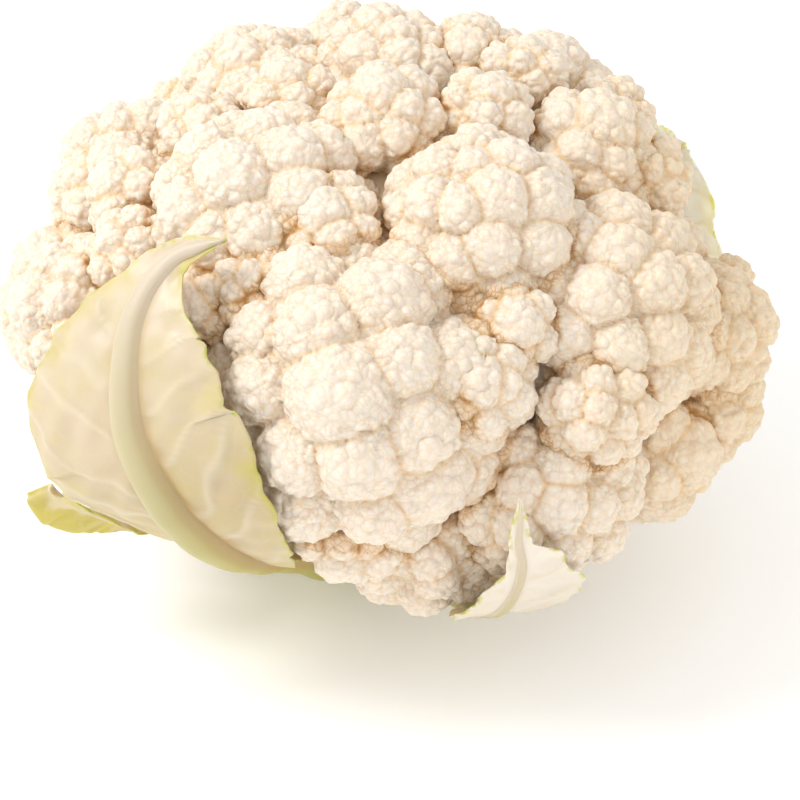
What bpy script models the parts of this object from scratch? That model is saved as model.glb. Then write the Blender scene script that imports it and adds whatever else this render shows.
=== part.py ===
"""A head of cauliflower with the few leaves that still hug it, standing on its cut stem.

Metres, +Z up. The origin is the middle of the stem's cut face, on the surface the head stands on.
The head is seen from -Y in the usual view, with its largest leaf at the front left.
"""

import math

import bmesh
import bpy
import numpy as np

MM = 0.001
SEED = 11
TOUCH = 0.3 * MM
GOLDEN_TURN = math.radians(137.508)

# The head's outer form is an ellipsoid that the florets' tops reach
HEAD_CENTRE = np.array([0.0, 0.0, 69.0]) * MM
HEAD_HALF = np.array([95.0, 90.0, 68.0]) * MM

# The main florets of the side that the usual view shows, and those in the hollow behind the leaf at
# the back right: azimuth and elevation on the head in degrees, radius in mm, and how far the top lies
# below the head's outer form in mm
FLORETS = {
    "front": (263, 23, 37.5, -3),
    "front_side": (285, 25, 14, 2),
    "centre": (300, 59, 24.5, -2),
    "right": (322, 31, 28, -1),
    "right_low": (305, 12, 14, 0),
    "low_mid": (299, -17, 23.5, -1),
    "bottom": (277, -39, 21, 2),
    "bottom_left": (263, -21, 14, 3),
    "bottom_right": (294, -37, 16, 3),
    "left_up": (219, 60, 28, -1),
    "left_far": (164, 33, 21.5, 0),
    "left_low": (199, 15, 19, -1),
    "left_lower": (201, -15, 18, 2),
    "left_bottom": (232, -2, 20, 8),
    "top_left": (132, 52, 21, 0),
    "top": (91, 70, 18.5, 0),
    "top_back": (59, 65, 13.5, 0),
    "top_mid": (257, 85, 16, 1),
    "top_mid_right": (350, 75, 12, 1),
    "right_up": (358, 56, 17, 0),
    "top_right": (35, 64, 12, 0),
    "far_right_up": (358, 44, 12, 3),
    "far_right": (342, 8, 17, 0),
    "far_right_low": (340, -14, 15, 0),
    "low_right": (329, -23, 16.5, 1),
    "low_right_side": (329, -30, 13, 2),
    "gap_mid": (294, 36, 11, 5),
    "left_up_side": (250, 59, 14, 4),
    "under_leaf_tip": (240, 42, 12, 5),
    "back_right_high": (26, 25, 19, 15),
    "back_right": (18, 4, 20, 17),
    "back_right_side": (42, 8, 20, 14),
    "back_right_low": (24, -18, 17, 13),
    "recess": (5, 19, 14, 18),
}
# The florets that cover the rest of the head by a rule: trial places, sizes and least spacing
PLACES = 900
LOWEST = math.radians(-30)
COVERING_RADIUS = 25 * MM
COVERING_VARIETY = (0.82, 1.15)
FLORET_CROWDING = 1.5
# Small florets in the gaps: how deep they sit, the least room for one, and their radii
GAP_DEPTH = 13 * MM
GAP_ROOM = 2.5 * MM
GAP_RADIUS = 7.5 * MM
GAP_WIDEST = 12 * MM
FLORET_SQUASH = 0.86
FLORET_FLOOR = 0.80
# Leaf stalks pass under the head here: azimuth and half width in degrees, below this height
STALK_GAPS = ((228, 32), (290, 14), (26, 24), (130, 24))
STALKS_BELOW = math.sin(math.radians(-7))
# Small florets stay out of the hollow: its azimuth and half width, lowest and highest elevation
HOLLOW = (15, 28)
HOLLOW_HEIGHTS = (math.sin(math.radians(-4)), math.sin(math.radians(36)))

# The lobes that a floret's dome is made of: trial places, their jitter, sizes and least spacing
LOBE_PLACES = 700
LOBE_JITTER = 0.03
LOBE_SMALLEST = 3.5 * MM
LOBE_SHARE = 0.205
LOBE_VARIETY = (0.7, 1.38)
LOBE_AT_TOP = 0.85
LOBE_AT_RIM = 1.2
LOBE_CROWDING = 1.55
HIDDEN_LOBES_WIDER = 1.25
LOBE_SPREAD = math.radians(108)
# A lobe's ball against the lobe's size, and how far its top stands over the dome, in sizes
LOBE_BALL = 1.3
LOBE_RISE = (0.06, 0.34)
RING_AT = 0.6

# The core that the florets stand out of: its size as a share of the head's, and its outline's steps
CORE_SHARE = 0.72
CORE_STEPS = (-18, 0, 18, 36, 54, 72, 90)
CORE_SIDES = 20
CORE_WAIST = 36 * MM
# Florets lower than this show their branches, which spread from one point and taper towards it
BRANCHES_BELOW = 62 * MM
BRANCHING_POINT = np.array([0.0, 0.0, 40.0]) * MM
BRANCH_SHARE = 0.36
BRANCH_TAPER = 0.8
# The share of the fused head's triangles that is kept when its slivers go
KEPT_SHARE = 0.78

STEM_RADIUS = 19 * MM
STEM_TOP = 24 * MM
STEM_CHAMFER = 1 * MM
STEM_SIDES = 24
# The stubs of cut stalks: their azimuths, the heights of their two ends, length and radius
STUB_TURNS = (61, 95, 163, 322, 352)
STUB_ROOT_HEIGHT = 6.5 * MM
STUB_END_HEIGHT = 11 * MM
STUB_LENGTH = 5 * MM
STUB_RADIUS = 4.5 * MM

# Lobes whose top lies this deep in another floret are left out, or are left plain
BURIED_SHARE = 0.8
HIDDEN_SHARE = 0.95
ROUNDED_SPREAD = math.radians(80)
# The way to the usual view, and how far a floret must face it to count as shown
USUAL_VIEW = np.array([0.0, -0.83, 0.56])
SHOWN_FROM = 0.15

# How far leaves stay off the head, their rows' spacing, and their columns' places across the blade
LEAF_CLEARANCE = 1.2 * MM
LEAF_STEP = 5.5 * MM
LEAF_COLUMNS = (0.36, 0.7, 1.0)
# Balls of this radius stand in for a leaf where another is laid over it
LEAF_BALL = 3 * MM
# The blade that is left beside a bare stalk, and the width from which teeth and waves are in full
SKIRT = 1.4 * MM
FULL_WIDTH = 12
RIB_FULL_AT = 0.6
RIB_AT_TIP = 0.25
RIB_HEIGHT_AT_TIP = 0.15
SMOOTHING = 6
# Over this length a leaf narrows to its tip, down to this share of its rib and skirt
TIP_LENGTH = 9 * MM
TIP_SHARE = 0.12

# The leaves, lowest first. Each row runs from the tip down the rib to the stalk's end: azimuth and
# elevation of the rib seen from the head's middle, its distance from there as a share of the head's
# outer form, and the widths to the left and right margins in mm. The other sizes are in mm too.
LEAVES = {
    "leaf_low_left": {
        "rib": 3.5,
        "rib_height": 2,
        "thickness": 1,
        "tooth": 1.2,
        "wave": 1.5,
        "wave_length": 17,
        "flare": (14, 0),
        "rows": (
            (206, -16, 1.05, 3, 4),
            (207, -18, 1.04, 7.5, 7),
            (209, -20, 1.02, 10, 9),
            (213, -25, 0.97, 8.5, 8),
            (215, -33, 0.89, 4, 3),
            (213, -43, 0.86, 0, 0),
            (206, -55, 0.87, 0, 0),
            (199, -71, 0.91, 0, 0),
        ),
    },
    "leaf_left": {
        "rib": 6.3,
        "rib_height": 4.5,
        "thickness": 1,
        "tooth": 0.8,
        "wave": 2,
        "wave_length": 24,
        "flare": (1, 0),
        "rows": (
            (237, 38, 1.06, 0.5, 0.5),
            (233, 36, 1.06, 2, 2),
            (229, 33, 1.06, 4, 5),
            (227, 28, 1.05, 8, 12),
            (227, 23, 1.05, 14, 18),
            (228, 19, 1.05, 22, 21),
            (230, 13, 1.05, 30, 25),
            (232, 8, 1.05, 33, 28),
            (234.5, 4, 1.05, 35, 29),
            (237.5, -2, 1.03, 35, 27),
            (240, -10, 0.98, 32, 23),
            (241.5, -17, 0.93, 25, 17),
            (242, -25, 0.87, 15, 10),
            (242, -34, 0.82, 6, 4),
            (242, -45, 0.81, 0, 0),
            (243, -58, 0.86, 0, 0),
            (244, -72, 0.9, 0, 0),
        ),
    },
    "leaf_front": {
        "rib": 2.2,
        "rib_height": 1.6,
        "thickness": 0.9,
        "tooth": 0.5,
        "wave": 1,
        "wave_length": 15,
        "flare": (0, 1),
        "rows": (
            (288, 3, 1.03, 0.3, 0.3),
            (288, -1, 1.03, 1.2, 1.2),
            (288, -5, 1.03, 2, 3),
            (289, -10, 1.03, 4, 10),
            (289, -17, 1.03, 8, 17),
            (288.5, -24, 1.03, 11, 17),
            (288, -32, 1.0, 8, 10),
            (288, -45, 0.96, 0, 0),
            (288, -56, 0.93, 0, 0),
            (288, -72, 0.9, 0, 0),
        ),
    },
    "leaf_back_right": {
        "rib": 3.5,
        "rib_height": 2.5,
        "thickness": 1,
        "tooth": 0.8,
        "wave": 1.5,
        "wave_length": 20,
        "flare": (1, 1),
        "rows": (
            (22, 20, 0.92, 0.3, 0.3),
            (26, 17, 0.93, 2, 2),
            (31, 13, 0.94, 7, 7),
            (34, 8, 0.95, 13, 12),
            (37, 1, 0.95, 20, 17),
            (38, -6, 0.95, 25, 20),
            (38, -14, 0.94, 23, 18),
            (37, -22, 0.92, 12, 12),
            (35, -31, 0.9, 4, 4),
            (31, -42, 0.88, 0, 0),
            (28, -56, 0.87, 0, 0),
            (26, -72, 0.9, 0, 0),
        ),
    },
    "leaf_back": {
        "rib": 3.5,
        "rib_height": 2.5,
        "thickness": 1,
        "tooth": 1,
        "wave": 2,
        "wave_length": 20,
        "flare": (1, 1),
        "rows": (
            (128, 6, 1.06, 4, 6),
            (129, 0, 1.06, 14, 15),
            (130, -8, 1.05, 20, 19),
            (130, -18, 1.02, 16, 15),
            (130, -28, 0.96, 6, 6),
            (130, -42, 0.9, 0, 0),
            (130, -58, 0.87, 0, 0),
            (130, -72, 0.9, 0, 0),
        ),
    },
}


def unit(vectors):
    return vectors / np.linalg.norm(vectors, axis=-1, keepdims=True)


def direction(azimuth, elevation):
    return np.array(
        [
            math.cos(elevation) * math.cos(azimuth),
            math.cos(elevation) * math.sin(azimuth),
            math.sin(elevation),
        ]
    )


def farthest_hits(directions, centres, radii, floor):
    """How far a ray from the origin runs before it leaves the last of the balls, or the floor if farther."""
    along = directions @ centres.T
    inside = radii**2 - np.sum(centres**2, axis=1) + along**2
    reach = np.where(inside > 0, along + np.sqrt(np.maximum(inside, 0)), -1)
    return np.maximum(reach.max(axis=1), floor)


def cover(rng, size_at, sphere):
    """Directions round +Z that cover a floret's dome, each as far from the others as its size asks."""
    height = 1 - (np.arange(LOBE_PLACES) + 0.5) / LOBE_PLACES * (1 - math.cos(LOBE_SPREAD))
    turn = np.arange(LOBE_PLACES) * GOLDEN_TURN + rng.uniform(0, 2 * math.pi)
    ring = np.sqrt(1 - height**2)
    points = np.stack([ring * np.cos(turn), ring * np.sin(turn), height], axis=1)
    points = unit(points + rng.normal(0, LOBE_JITTER, points.shape))
    sizes = size_at(np.arccos(np.clip(points[:, 2], -1, 1))) * rng.uniform(*LOBE_VARIETY, LOBE_PLACES)
    chosen = [int(rng.integers(0, 12))]
    room = np.full(LOBE_PLACES, np.inf)
    while True:
        last = chosen[-1]
        apart = np.arccos(np.clip(points @ points[last], -1, 1)) * sphere
        room = np.minimum(room, apart / (0.5 * (sizes + sizes[last])))
        best = int(room.argmax())
        if room[best] < LOBE_CROWDING:
            return points[chosen], sizes[chosen]
        chosen.append(best)


def on_head(azimuth, elevation):
    """The point of the head's outer form there, and the way out of it."""
    point = direction(azimuth, elevation)
    return HEAD_CENTRE + point * HEAD_HALF, unit(point / HEAD_HALF)


def floret_places():
    """(point on the head's outer form, way out, radius) of every floret: the listed ones, the ones that
    cover the side away from the usual view, then small ones in the gaps between them."""
    rng = np.random.default_rng(SEED)
    lowest = math.sin(LOWEST)
    heights = lowest + (1 - lowest) * (np.arange(PLACES) + 0.5) / PLACES
    turns = np.arange(PLACES) * GOLDEN_TURN
    points, outs = (np.array(v) for v in zip(*(on_head(t, math.asin(h)) for t, h in zip(turns, heights))))
    free = np.array([not kept_free(turn, height) for turn, height in zip(turns, heights)])
    hidden = free & (outs @ USUAL_VIEW < SHOWN_FROM)
    places = []
    for azimuth, elevation, radius, below in FLORETS.values():
        point, out = on_head(math.radians(azimuth), math.radians(elevation))
        places.append((point - out * below * MM, out, radius * MM))
    sizes = COVERING_RADIUS * rng.uniform(*COVERING_VARIETY, PLACES)
    room = np.full(PLACES, np.inf)
    for point, out, radius in places:
        room = np.minimum(room, np.linalg.norm(points - point, axis=1) / (0.5 * (sizes + radius)))
    while True:
        best = int(np.where(hidden, room, 0).argmax())
        if room[best] < FLORET_CROWDING:
            break
        places.append((points[best], outs[best], sizes[best]))
        apart = np.linalg.norm(points - points[best], axis=1)
        room = np.minimum(room, apart / (0.5 * (sizes + sizes[best])))
    middles = points - outs * GAP_DEPTH
    room = np.full(PLACES, np.inf)
    for point, out, radius in places:
        centre = point - out * radius * FLORET_SQUASH
        room = np.minimum(room, np.linalg.norm(middles - centre, axis=1) - radius)
    while True:
        best = int(np.where(free, room, -1).argmax())
        if room[best] < GAP_ROOM:
            return places
        radius = min(GAP_WIDEST, GAP_RADIUS + room[best])
        places.append((middles[best] + outs[best] * radius * FLORET_SQUASH, outs[best], radius))
        apart = np.linalg.norm(middles - middles[best], axis=1)
        room = np.minimum(room, apart - radius)


def within(turn, middle, half):
    """Whether a turn lies within half of the middle, both in degrees."""
    return abs((math.degrees(turn) - middle + 180) % 360 - 180) < half


def kept_free(turn, height):
    """Whether a leaf's stalk, or the hollow behind a leaf, needs this part of the head."""
    if HOLLOW_HEIGHTS[0] < height < HOLLOW_HEIGHTS[1] and within(turn, *HOLLOW):
        return True
    return height < STALKS_BELOW and any(within(turn, *gap) for gap in STALK_GAPS)


class Floret:
    """One main floret: a dome of lobes about its own centre, +Z of its frame pointing out of the head."""

    def __init__(self, place, seed):
        point, self.out, self.radius = place
        self.centre = point - self.out * self.radius * FLORET_SQUASH
        side = unit(np.cross(self.out, [0.31, 0.17, 0.93]))
        self.frame = np.stack([side, np.cross(self.out, side), self.out], axis=1)
        rng = np.random.default_rng(SEED * 1000 + seed)
        size = LOBE_SMALLEST + LOBE_SHARE * self.radius
        if self.out @ USUAL_VIEW < SHOWN_FROM:
            size *= HIDDEN_LOBES_WIDER
        wider = LOBE_AT_RIM - LOBE_AT_TOP
        self.tops, self.sizes = cover(
            rng, lambda angle: size * (LOBE_AT_TOP + wider * angle / LOBE_SPREAD), self.radius
        )
        rise = rng.uniform(*LOBE_RISE, len(self.sizes)) * self.sizes
        self.sizes = self.sizes * LOBE_BALL
        self.lobes = self.dome(self.tops) * (1 - (self.sizes - rise) / self.radius)[:, None]

    def dome(self, directions):
        """The plain dome under the lobes, flatter at its top than at its sides."""
        return directions * np.array([1, 1, FLORET_SQUASH]) * self.radius

    def surface(self, directions):
        """Points of the floret's surface in these directions of its own frame."""
        floor = np.linalg.norm(self.dome(directions), axis=1) * FLORET_FLOOR
        return directions * farthest_hits(directions, self.lobes, self.sizes, floor)[:, None]

    def to_head(self, points):
        return points @ self.frame.T + self.centre


def hull(points):
    """Triangles of the convex hull of points on a unit sphere, facing out."""
    work = bmesh.new()
    for number, point in enumerate(points):
        work.verts.new(point).index = number
    bmesh.ops.convex_hull(work, input=work.verts[:])
    work.verts.index_update()
    faces = np.array([[v.index for v in f.verts] for f in work.faces])
    work.free()
    a, b, c = (points[faces[:, k]] for k in range(3))
    inward = np.einsum("ij,ij->i", np.cross(b - a, c - a), a + b + c) < 0
    faces[inward] = faces[inward][:, ::-1]
    return faces


def lobed_net(tops, rounded):
    """Directions and triangles of a net in which each top is a small dome: a middle, a ring round it where
    rounded says so, and a corner in each crease where three tops meet."""
    triangles = hull(tops)
    corners = unit(tops[triangles].sum(axis=1))
    left_of = {}
    for number, triangle in enumerate(triangles):
        for k in range(3):
            left_of[(triangle[k], triangle[(k + 1) % 3])] = number
    directions = [*tops, *corners]
    ring = {}
    faces = []
    for (here, there), left in left_of.items():
        right = left_of[(there, here)]
        near, far = len(tops) + right, len(tops) + left
        if rounded[here]:
            for corner in (right, left):
                if (here, corner) not in ring:
                    ring[(here, corner)] = len(directions)
                    directions.append(unit(tops[here] * (1 - RING_AT) + corners[corner] * RING_AT))
            first, second = ring[(here, right)], ring[(here, left)]
            faces += [(here, first, second), (first, near, far), (first, far, second)]
        else:
            faces.append((here, near, far))
    return np.array(directions), faces


UNDERSIDE = np.array(
    [direction(math.radians(60 * k), math.radians(-38)) for k in range(6)] + [[0.0, 0.0, -1.0]]
)


def near_any(points, florets, share):
    """Whether each point lies within this share of a floret's own radius of its centre."""
    found = np.zeros(len(points), bool)
    for other in florets:
        found |= np.linalg.norm(points - other.centre, axis=1) < share * other.radius
    return found


def floret_mesh(floret, others):
    """The floret's closed solid. Lobes buried in other florets are left out, and those at the back plain."""
    others = [other for other in others if other is not floret]
    places = floret.to_head(floret.surface(floret.tops))
    tops = floret.tops[~near_any(places, others, BURIED_SHARE)]
    places = floret.to_head(floret.surface(tops))
    rounded = ~near_any(places, others, HIDDEN_SHARE) & ((places - floret.centre) @ USUAL_VIEW > 0)
    rounded &= tops[:, 2] > math.cos(ROUNDED_SPREAD)
    directions, faces = lobed_net(
        np.concatenate([tops, UNDERSIDE]), np.concatenate([rounded, np.zeros(len(UNDERSIDE), bool)])
    )
    return floret.to_head(floret.surface(directions)), faces


def new_object(name, points, faces, material, collection=None):
    mesh = bpy.data.meshes.new(name)
    mesh.from_pydata([tuple(p) for p in points], [], [tuple(int(i) for i in f) for f in faces])
    mesh.validate()
    made = bpy.data.objects.new(name, mesh)
    (collection or bpy.context.scene.collection).objects.link(made)
    made.data.materials.append(material)
    return made


def matte(name, colour, roughness):
    material = bpy.data.materials.new(name)
    material.use_nodes = True
    shader = material.node_tree.nodes["Principled BSDF"]
    shader.inputs["Base Color"].default_value = (*colour, 1)
    shader.inputs["Roughness"].default_value = roughness
    shader.inputs["Metallic"].default_value = 0
    return material


def turned(profile, sides):
    """Points and faces of a solid turned about the vertical axis, from (radius, height) pairs, bottom up."""
    points = [(0, 0, profile[0][1])]
    for radius, height in profile:
        for k in range(sides):
            angle = 2 * math.pi * k / sides
            points.append((radius * math.cos(angle), radius * math.sin(angle), height))
    points.append((0, 0, profile[-1][1]))
    faces = []
    for k in range(sides):
        after = (k + 1) % sides
        faces.append((0, 1 + after, 1 + k))
        for row in range(len(profile) - 1):
            low, high = 1 + row * sides, 1 + (row + 1) * sides
            faces.append((low + k, low + after, high + after, high + k))
        top = 1 + (len(profile) - 1) * sides
        faces.append((len(points) - 1, top + k, top + after))
    return points, faces


def branch(start, end, thin, thick, sides=8):
    """Points and faces of a tapered round branch from start to end."""
    along = unit(end - start)
    side = unit(np.cross(along, [0.2, 0.1, 0.97]))
    other = np.cross(along, side)
    points = []
    for place, radius in ((start, thin), (end, thick)):
        for k in range(sides):
            angle = 2 * math.pi * k / sides
            points.append(place + radius * (math.cos(angle) * side + math.sin(angle) * other))
    faces = [tuple(range(sides - 1, -1, -1)), tuple(range(sides, 2 * sides))]
    for k in range(sides):
        after = (k + 1) % sides
        faces.append((k, after, sides + after, sides + k))
    return points, faces


def keep_outer_skin(mesh):
    """Drops every loose piece but the largest, so that sealed hollows are filled."""
    work = bmesh.new()
    work.from_mesh(mesh)
    pieces = []
    seen = set()
    for start in work.verts:
        if start in seen:
            continue
        piece = [start]
        seen.add(start)
        for vertex in piece:
            for edge in vertex.link_edges:
                other = edge.other_vert(vertex)
                if other not in seen:
                    seen.add(other)
                    piece.append(other)
        pieces.append(piece)
    pieces.sort(key=len)
    loose = [vertex for piece in pieces[:-1] for vertex in piece]
    bmesh.ops.delete(work, geom=loose, context="VERTS")
    work.to_mesh(mesh)
    work.free()


def unite(base, collection):
    """Joins the collection's objects to base in one Boolean union, then removes them."""
    modifier = base.modifiers.new("union", "BOOLEAN")
    modifier.operation = "UNION"
    modifier.operand_type = "COLLECTION"
    modifier.collection = collection
    modifier.solver = "MANIFOLD"
    graph = bpy.context.evaluated_depsgraph_get()
    joined = bpy.data.meshes.new_from_object(base.evaluated_get(graph))
    base.modifiers.clear()
    base.data = joined
    keep_outer_skin(joined)
    for used in list(collection.objects):
        bpy.data.objects.remove(used)
    bpy.data.collections.remove(collection)


def drop_slivers(base):
    """Collapses the shortest edges, which are mostly slivers along the union's seams."""
    modifier = base.modifiers.new("slivers", "DECIMATE")
    modifier.ratio = KEPT_SHARE
    modifier.use_collapse_triangulate = True
    graph = bpy.context.evaluated_depsgraph_get()
    simpler = bpy.data.meshes.new_from_object(base.evaluated_get(graph))
    base.modifiers.clear()
    base.data = simpler


def make_curd(florets, material):
    """The white head: florets that stand out of a smaller core and are fused with it and its trunk."""
    collection = bpy.data.collections.new("florets")
    bpy.context.scene.collection.children.link(collection)
    for number, floret in enumerate(florets):
        points, faces = floret_mesh(floret, florets)
        new_object(f"floret_{number}", points, faces, material, collection)
        if floret.centre[2] < BRANCHES_BELOW:
            reach = BRANCH_SHARE * floret.radius
            points, faces = branch(BRANCHING_POINT, floret.centre, BRANCH_TAPER * reach, reach)
            new_object(f"branch_{number}", points, faces, material, collection)
    core = [
        (STEM_RADIUS - 1 * MM, STEM_TOP + TOUCH),
        (STEM_RADIUS, STEM_TOP + 6 * MM),
        (CORE_WAIST, BRANCHING_POINT[2]),
    ]
    for step in CORE_STEPS:
        angle = math.radians(step)
        ring = max(HEAD_HALF[1] * CORE_SHARE * math.cos(angle), MM)
        core.append((ring, HEAD_CENTRE[2] + HEAD_HALF[2] * CORE_SHARE * math.sin(angle)))
    curd = new_object("curd", *turned(core, CORE_SIDES), material)
    unite(curd, collection)
    drop_slivers(curd)


def smooth_path(points, values, step):
    """Points along a Catmull-Rom curve through the given ones, about a step apart, and the values there."""
    ends = np.concatenate([[2 * points[0] - points[1]], points, [2 * points[-1] - points[-2]]])
    fine = []
    fine_values = []
    for k in range(len(points) - 1):
        for t in np.arange(0, 1, 0.05):
            before, here, there, after = ends[k : k + 4]
            fine.append(
                here
                + 0.5 * t * (there - before)
                + 0.5 * t**2 * (2 * before - 5 * here + 4 * there - after)
                + 0.5 * t**3 * (3 * here - before - 3 * there + after)
            )
            blend = t * t * (3 - 2 * t)
            fine_values.append(values[k] * (1 - blend) + values[k + 1] * blend)
    fine = np.array([*fine, points[-1]])
    fine_values = np.array([*fine_values, values[-1]])
    length = np.concatenate([[0], np.cumsum(np.linalg.norm(np.diff(fine, axis=0), axis=1))])
    places = np.linspace(0, length[-1], max(4, round(length[-1] / step)))
    out = [np.interp(places, length, fine[:, k]) for k in range(3)]
    out_values = [np.interp(places, length, fine_values[:, k]) for k in range(fine_values.shape[1])]
    return np.stack(out, axis=1), np.stack(out_values, axis=1)


def leaf_columns(left, right, rib, skirt, shares):
    """Signed widths of a leaf's columns in one row: left margin, rib, right margin."""
    widths = [rib + max(left - rib, skirt) * share for share in reversed(shares)]
    widths += [rib * 1.0, rib * 0.5, 0, rib * -0.5, rib * -1.0]
    widths += [-rib - max(right - rib, skirt) * share for share in shares]
    return widths


def leaf_grid(leaf, obstacles, step, shares, seed):
    """Inner and outer points of a leaf laid round the head, rows from tip to stalk, columns left to right."""
    rows = np.array(leaf["rows"], float)
    ways = [direction(math.radians(row[0]), math.radians(row[1])) for row in rows]
    outs = [way * row[2] / np.linalg.norm(way / HEAD_HALF) for way, row in zip(ways, rows)]
    path, values = smooth_path(np.array(outs), rows[:, 2:5], step)
    rng = np.random.default_rng(SEED + seed)
    tangents = unit(np.gradient(path, axis=0))
    out = unit(path)
    side = unit(np.cross(tangents, out))
    along = np.linspace(0, 1, len(path))
    ribs = leaf["rib"] * MM * (RIB_AT_TIP + (1 - RIB_AT_TIP) * np.minimum(1, along / RIB_FULL_AT))
    heights = leaf["rib_height"] * MM * (RIB_HEIGHT_AT_TIP + (1 - RIB_HEIGHT_AT_TIP) * along)
    narrowed = np.minimum(1, TIP_SHARE + np.arange(len(path)) * step / TIP_LENGTH)
    ribs = ribs * narrowed
    widths = []
    waves = []
    for row in range(len(path)):
        left, right = values[row, 1:]
        tooth = leaf["tooth"] * rng.uniform(0.3, 1) * (1 if row % 2 else -1)
        left, right = (w + tooth * min(1, w / FULL_WIDTH) for w in (left, right))
        widths.append(leaf_columns(left * MM, right * MM, ribs[row], SKIRT * narrowed[row], shares))
        swing = math.sin(row * step / leaf["wave_length"] / MM * 2 * math.pi)
        share = min(1, max(left, right) / FULL_WIDTH)
        waves.append(leaf["wave"] * MM * share * (0.5 + 0.5 * swing))
    widths = np.array(widths)
    turn = widths / np.linalg.norm(path, axis=1)[:, None]
    ways = unit(out[:, None] * np.cos(turn)[..., None] + side[:, None] * np.sin(turn)[..., None])
    shape = ways.shape[:2]
    form = 1 / np.linalg.norm(ways / HEAD_HALF, axis=2)
    edge = np.abs(widths) / np.maximum(np.abs(widths).max(axis=1), 3 * SKIRT)[:, None]
    reached = np.minimum(1, np.abs(widths) / (FULL_WIDTH * MM))
    flare = np.where(widths > 0, *leaf["flare"]) * MM * reached
    wanted = values[:, :1] * form + (np.array(waves)[:, None] + flare) * edge**2
    least = farthest_hits(ways.reshape(-1, 3), *obstacles, -LEAF_CLEARANCE).reshape(shape) + LEAF_CLEARANCE
    inner = np.maximum.reduce([wanted, least, *neighbours(least)])
    for _ in range(SMOOTHING):
        inner = np.maximum(blurred(inner), least)
    bulge = np.maximum(0, 1 - (widths / ribs[:, None]) ** 2) * heights[:, None]
    outer = inner + leaf["thickness"] * MM + bulge
    return HEAD_CENTRE + ways * inner[..., None], HEAD_CENTRE + ways * outer[..., None]


def neighbours(grid):
    """The grid moved by one place each way, its border repeated."""
    padded = np.pad(grid, 1, mode="edge")
    return [padded[:-2, 1:-1], padded[2:, 1:-1], padded[1:-1, :-2], padded[1:-1, 2:]]


def blurred(grid):
    return 0.5 * grid + 0.125 * sum(neighbours(grid))


def leaf_mesh(inner, outer):
    """A closed sheet between two grids, both split into triangles the same way."""
    rows, columns = inner.shape[:2]
    count = rows * columns
    points = np.concatenate([inner.reshape(-1, 3), outer.reshape(-1, 3)])
    faces = []
    for row in range(rows - 1):
        for column in range(columns - 1):
            a = row * columns + column
            b, c, d = a + 1, a + columns, a + columns + 1
            halves = ((a, b, d), (a, d, c)) if column < columns // 2 else ((a, b, c), (b, d, c))
            for one, two, three in halves:
                faces.append((one, two, three))
                faces.append((count + three, count + two, count + one))
    border = [(0, c) for c in range(columns)]
    border += [(r, columns - 1) for r in range(1, rows)]
    border += [(rows - 1, c) for c in range(columns - 2, -1, -1)]
    border += [(r, 0) for r in range(rows - 2, 0, -1)]
    ring = [r * columns + c for r, c in border]
    for here, there in zip(ring, ring[1:] + ring[:1]):
        faces.append((there, here, count + here))
        faces.append((there, count + here, count + there))
    return points, faces


def facing_out(points, faces):
    """The faces turned so that they enclose a positive volume."""
    corners = points[np.array(faces)] - points.mean(axis=0)
    volume = np.einsum("ij,ij->", corners[:, 0], np.cross(corners[:, 1], corners[:, 2]))
    return faces if volume > 0 else [face[::-1] for face in faces]


def make_leaves(florets):
    """Every leaf, each clear of the head and of the leaves under it."""
    balls = [floret.to_head(floret.lobes) - HEAD_CENTRE for floret in florets]
    centres = np.concatenate(balls)
    radii = np.concatenate([floret.sizes for floret in florets])
    green = matte("leaf", (0.72, 0.72, 0.42), 0.5)
    for number, (name, leaf) in enumerate(LEAVES.items()):
        inner, outer = leaf_grid(leaf, (centres, radii), LEAF_STEP, LEAF_COLUMNS, number)
        points, faces = leaf_mesh(inner, outer)
        new_object(name, points, facing_out(points, faces), green)
        centres = np.concatenate([centres, inner.reshape(-1, 3) - HEAD_CENTRE])
        radii = np.concatenate([radii, np.full(outer.shape[0] * outer.shape[1], LEAF_BALL)])


def make_stem():
    """The cut stem, with the stubs of the leaf stalks that were cut away round it."""
    pale = matte("stem", (0.80, 0.80, 0.58), 0.55)
    profile = [
        (STEM_RADIUS - STEM_CHAMFER, 0),
        (STEM_RADIUS, STEM_CHAMFER),
        (STEM_RADIUS - STEM_CHAMFER, STEM_TOP),
    ]
    stem = new_object("stem", *turned(profile, STEM_SIDES), pale)
    collection = bpy.data.collections.new("stubs")
    bpy.context.scene.collection.children.link(collection)
    for turn in STUB_TURNS:
        way = direction(math.radians(turn), 0)
        start = way * STEM_RADIUS * 0.7 + np.array([0, 0, STUB_ROOT_HEIGHT])
        end = way * (STEM_RADIUS + STUB_LENGTH) + np.array([0, 0, STUB_END_HEIGHT])
        points, faces = branch(start, end, STUB_RADIUS, STUB_RADIUS)
        new_object("stub", points, faces, pale, collection)
    unite(stem, collection)


def main():
    for old in list(bpy.data.objects):
        bpy.data.objects.remove(old)
    florets = [Floret(place, number) for number, place in enumerate(floret_places())]
    make_curd(florets, matte("curd", (0.86, 0.76, 0.62), 0.6))
    make_leaves(florets)
    make_stem()


main()
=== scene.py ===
"""The looks of a head of cauliflower: its fine florets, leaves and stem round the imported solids.

Metres, +Z up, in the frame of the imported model: the origin is the middle of the stem's cut face. The
florets, lobes and leaves are laid out by the same values and rules as the solids they stand for.
"""

import math

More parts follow.
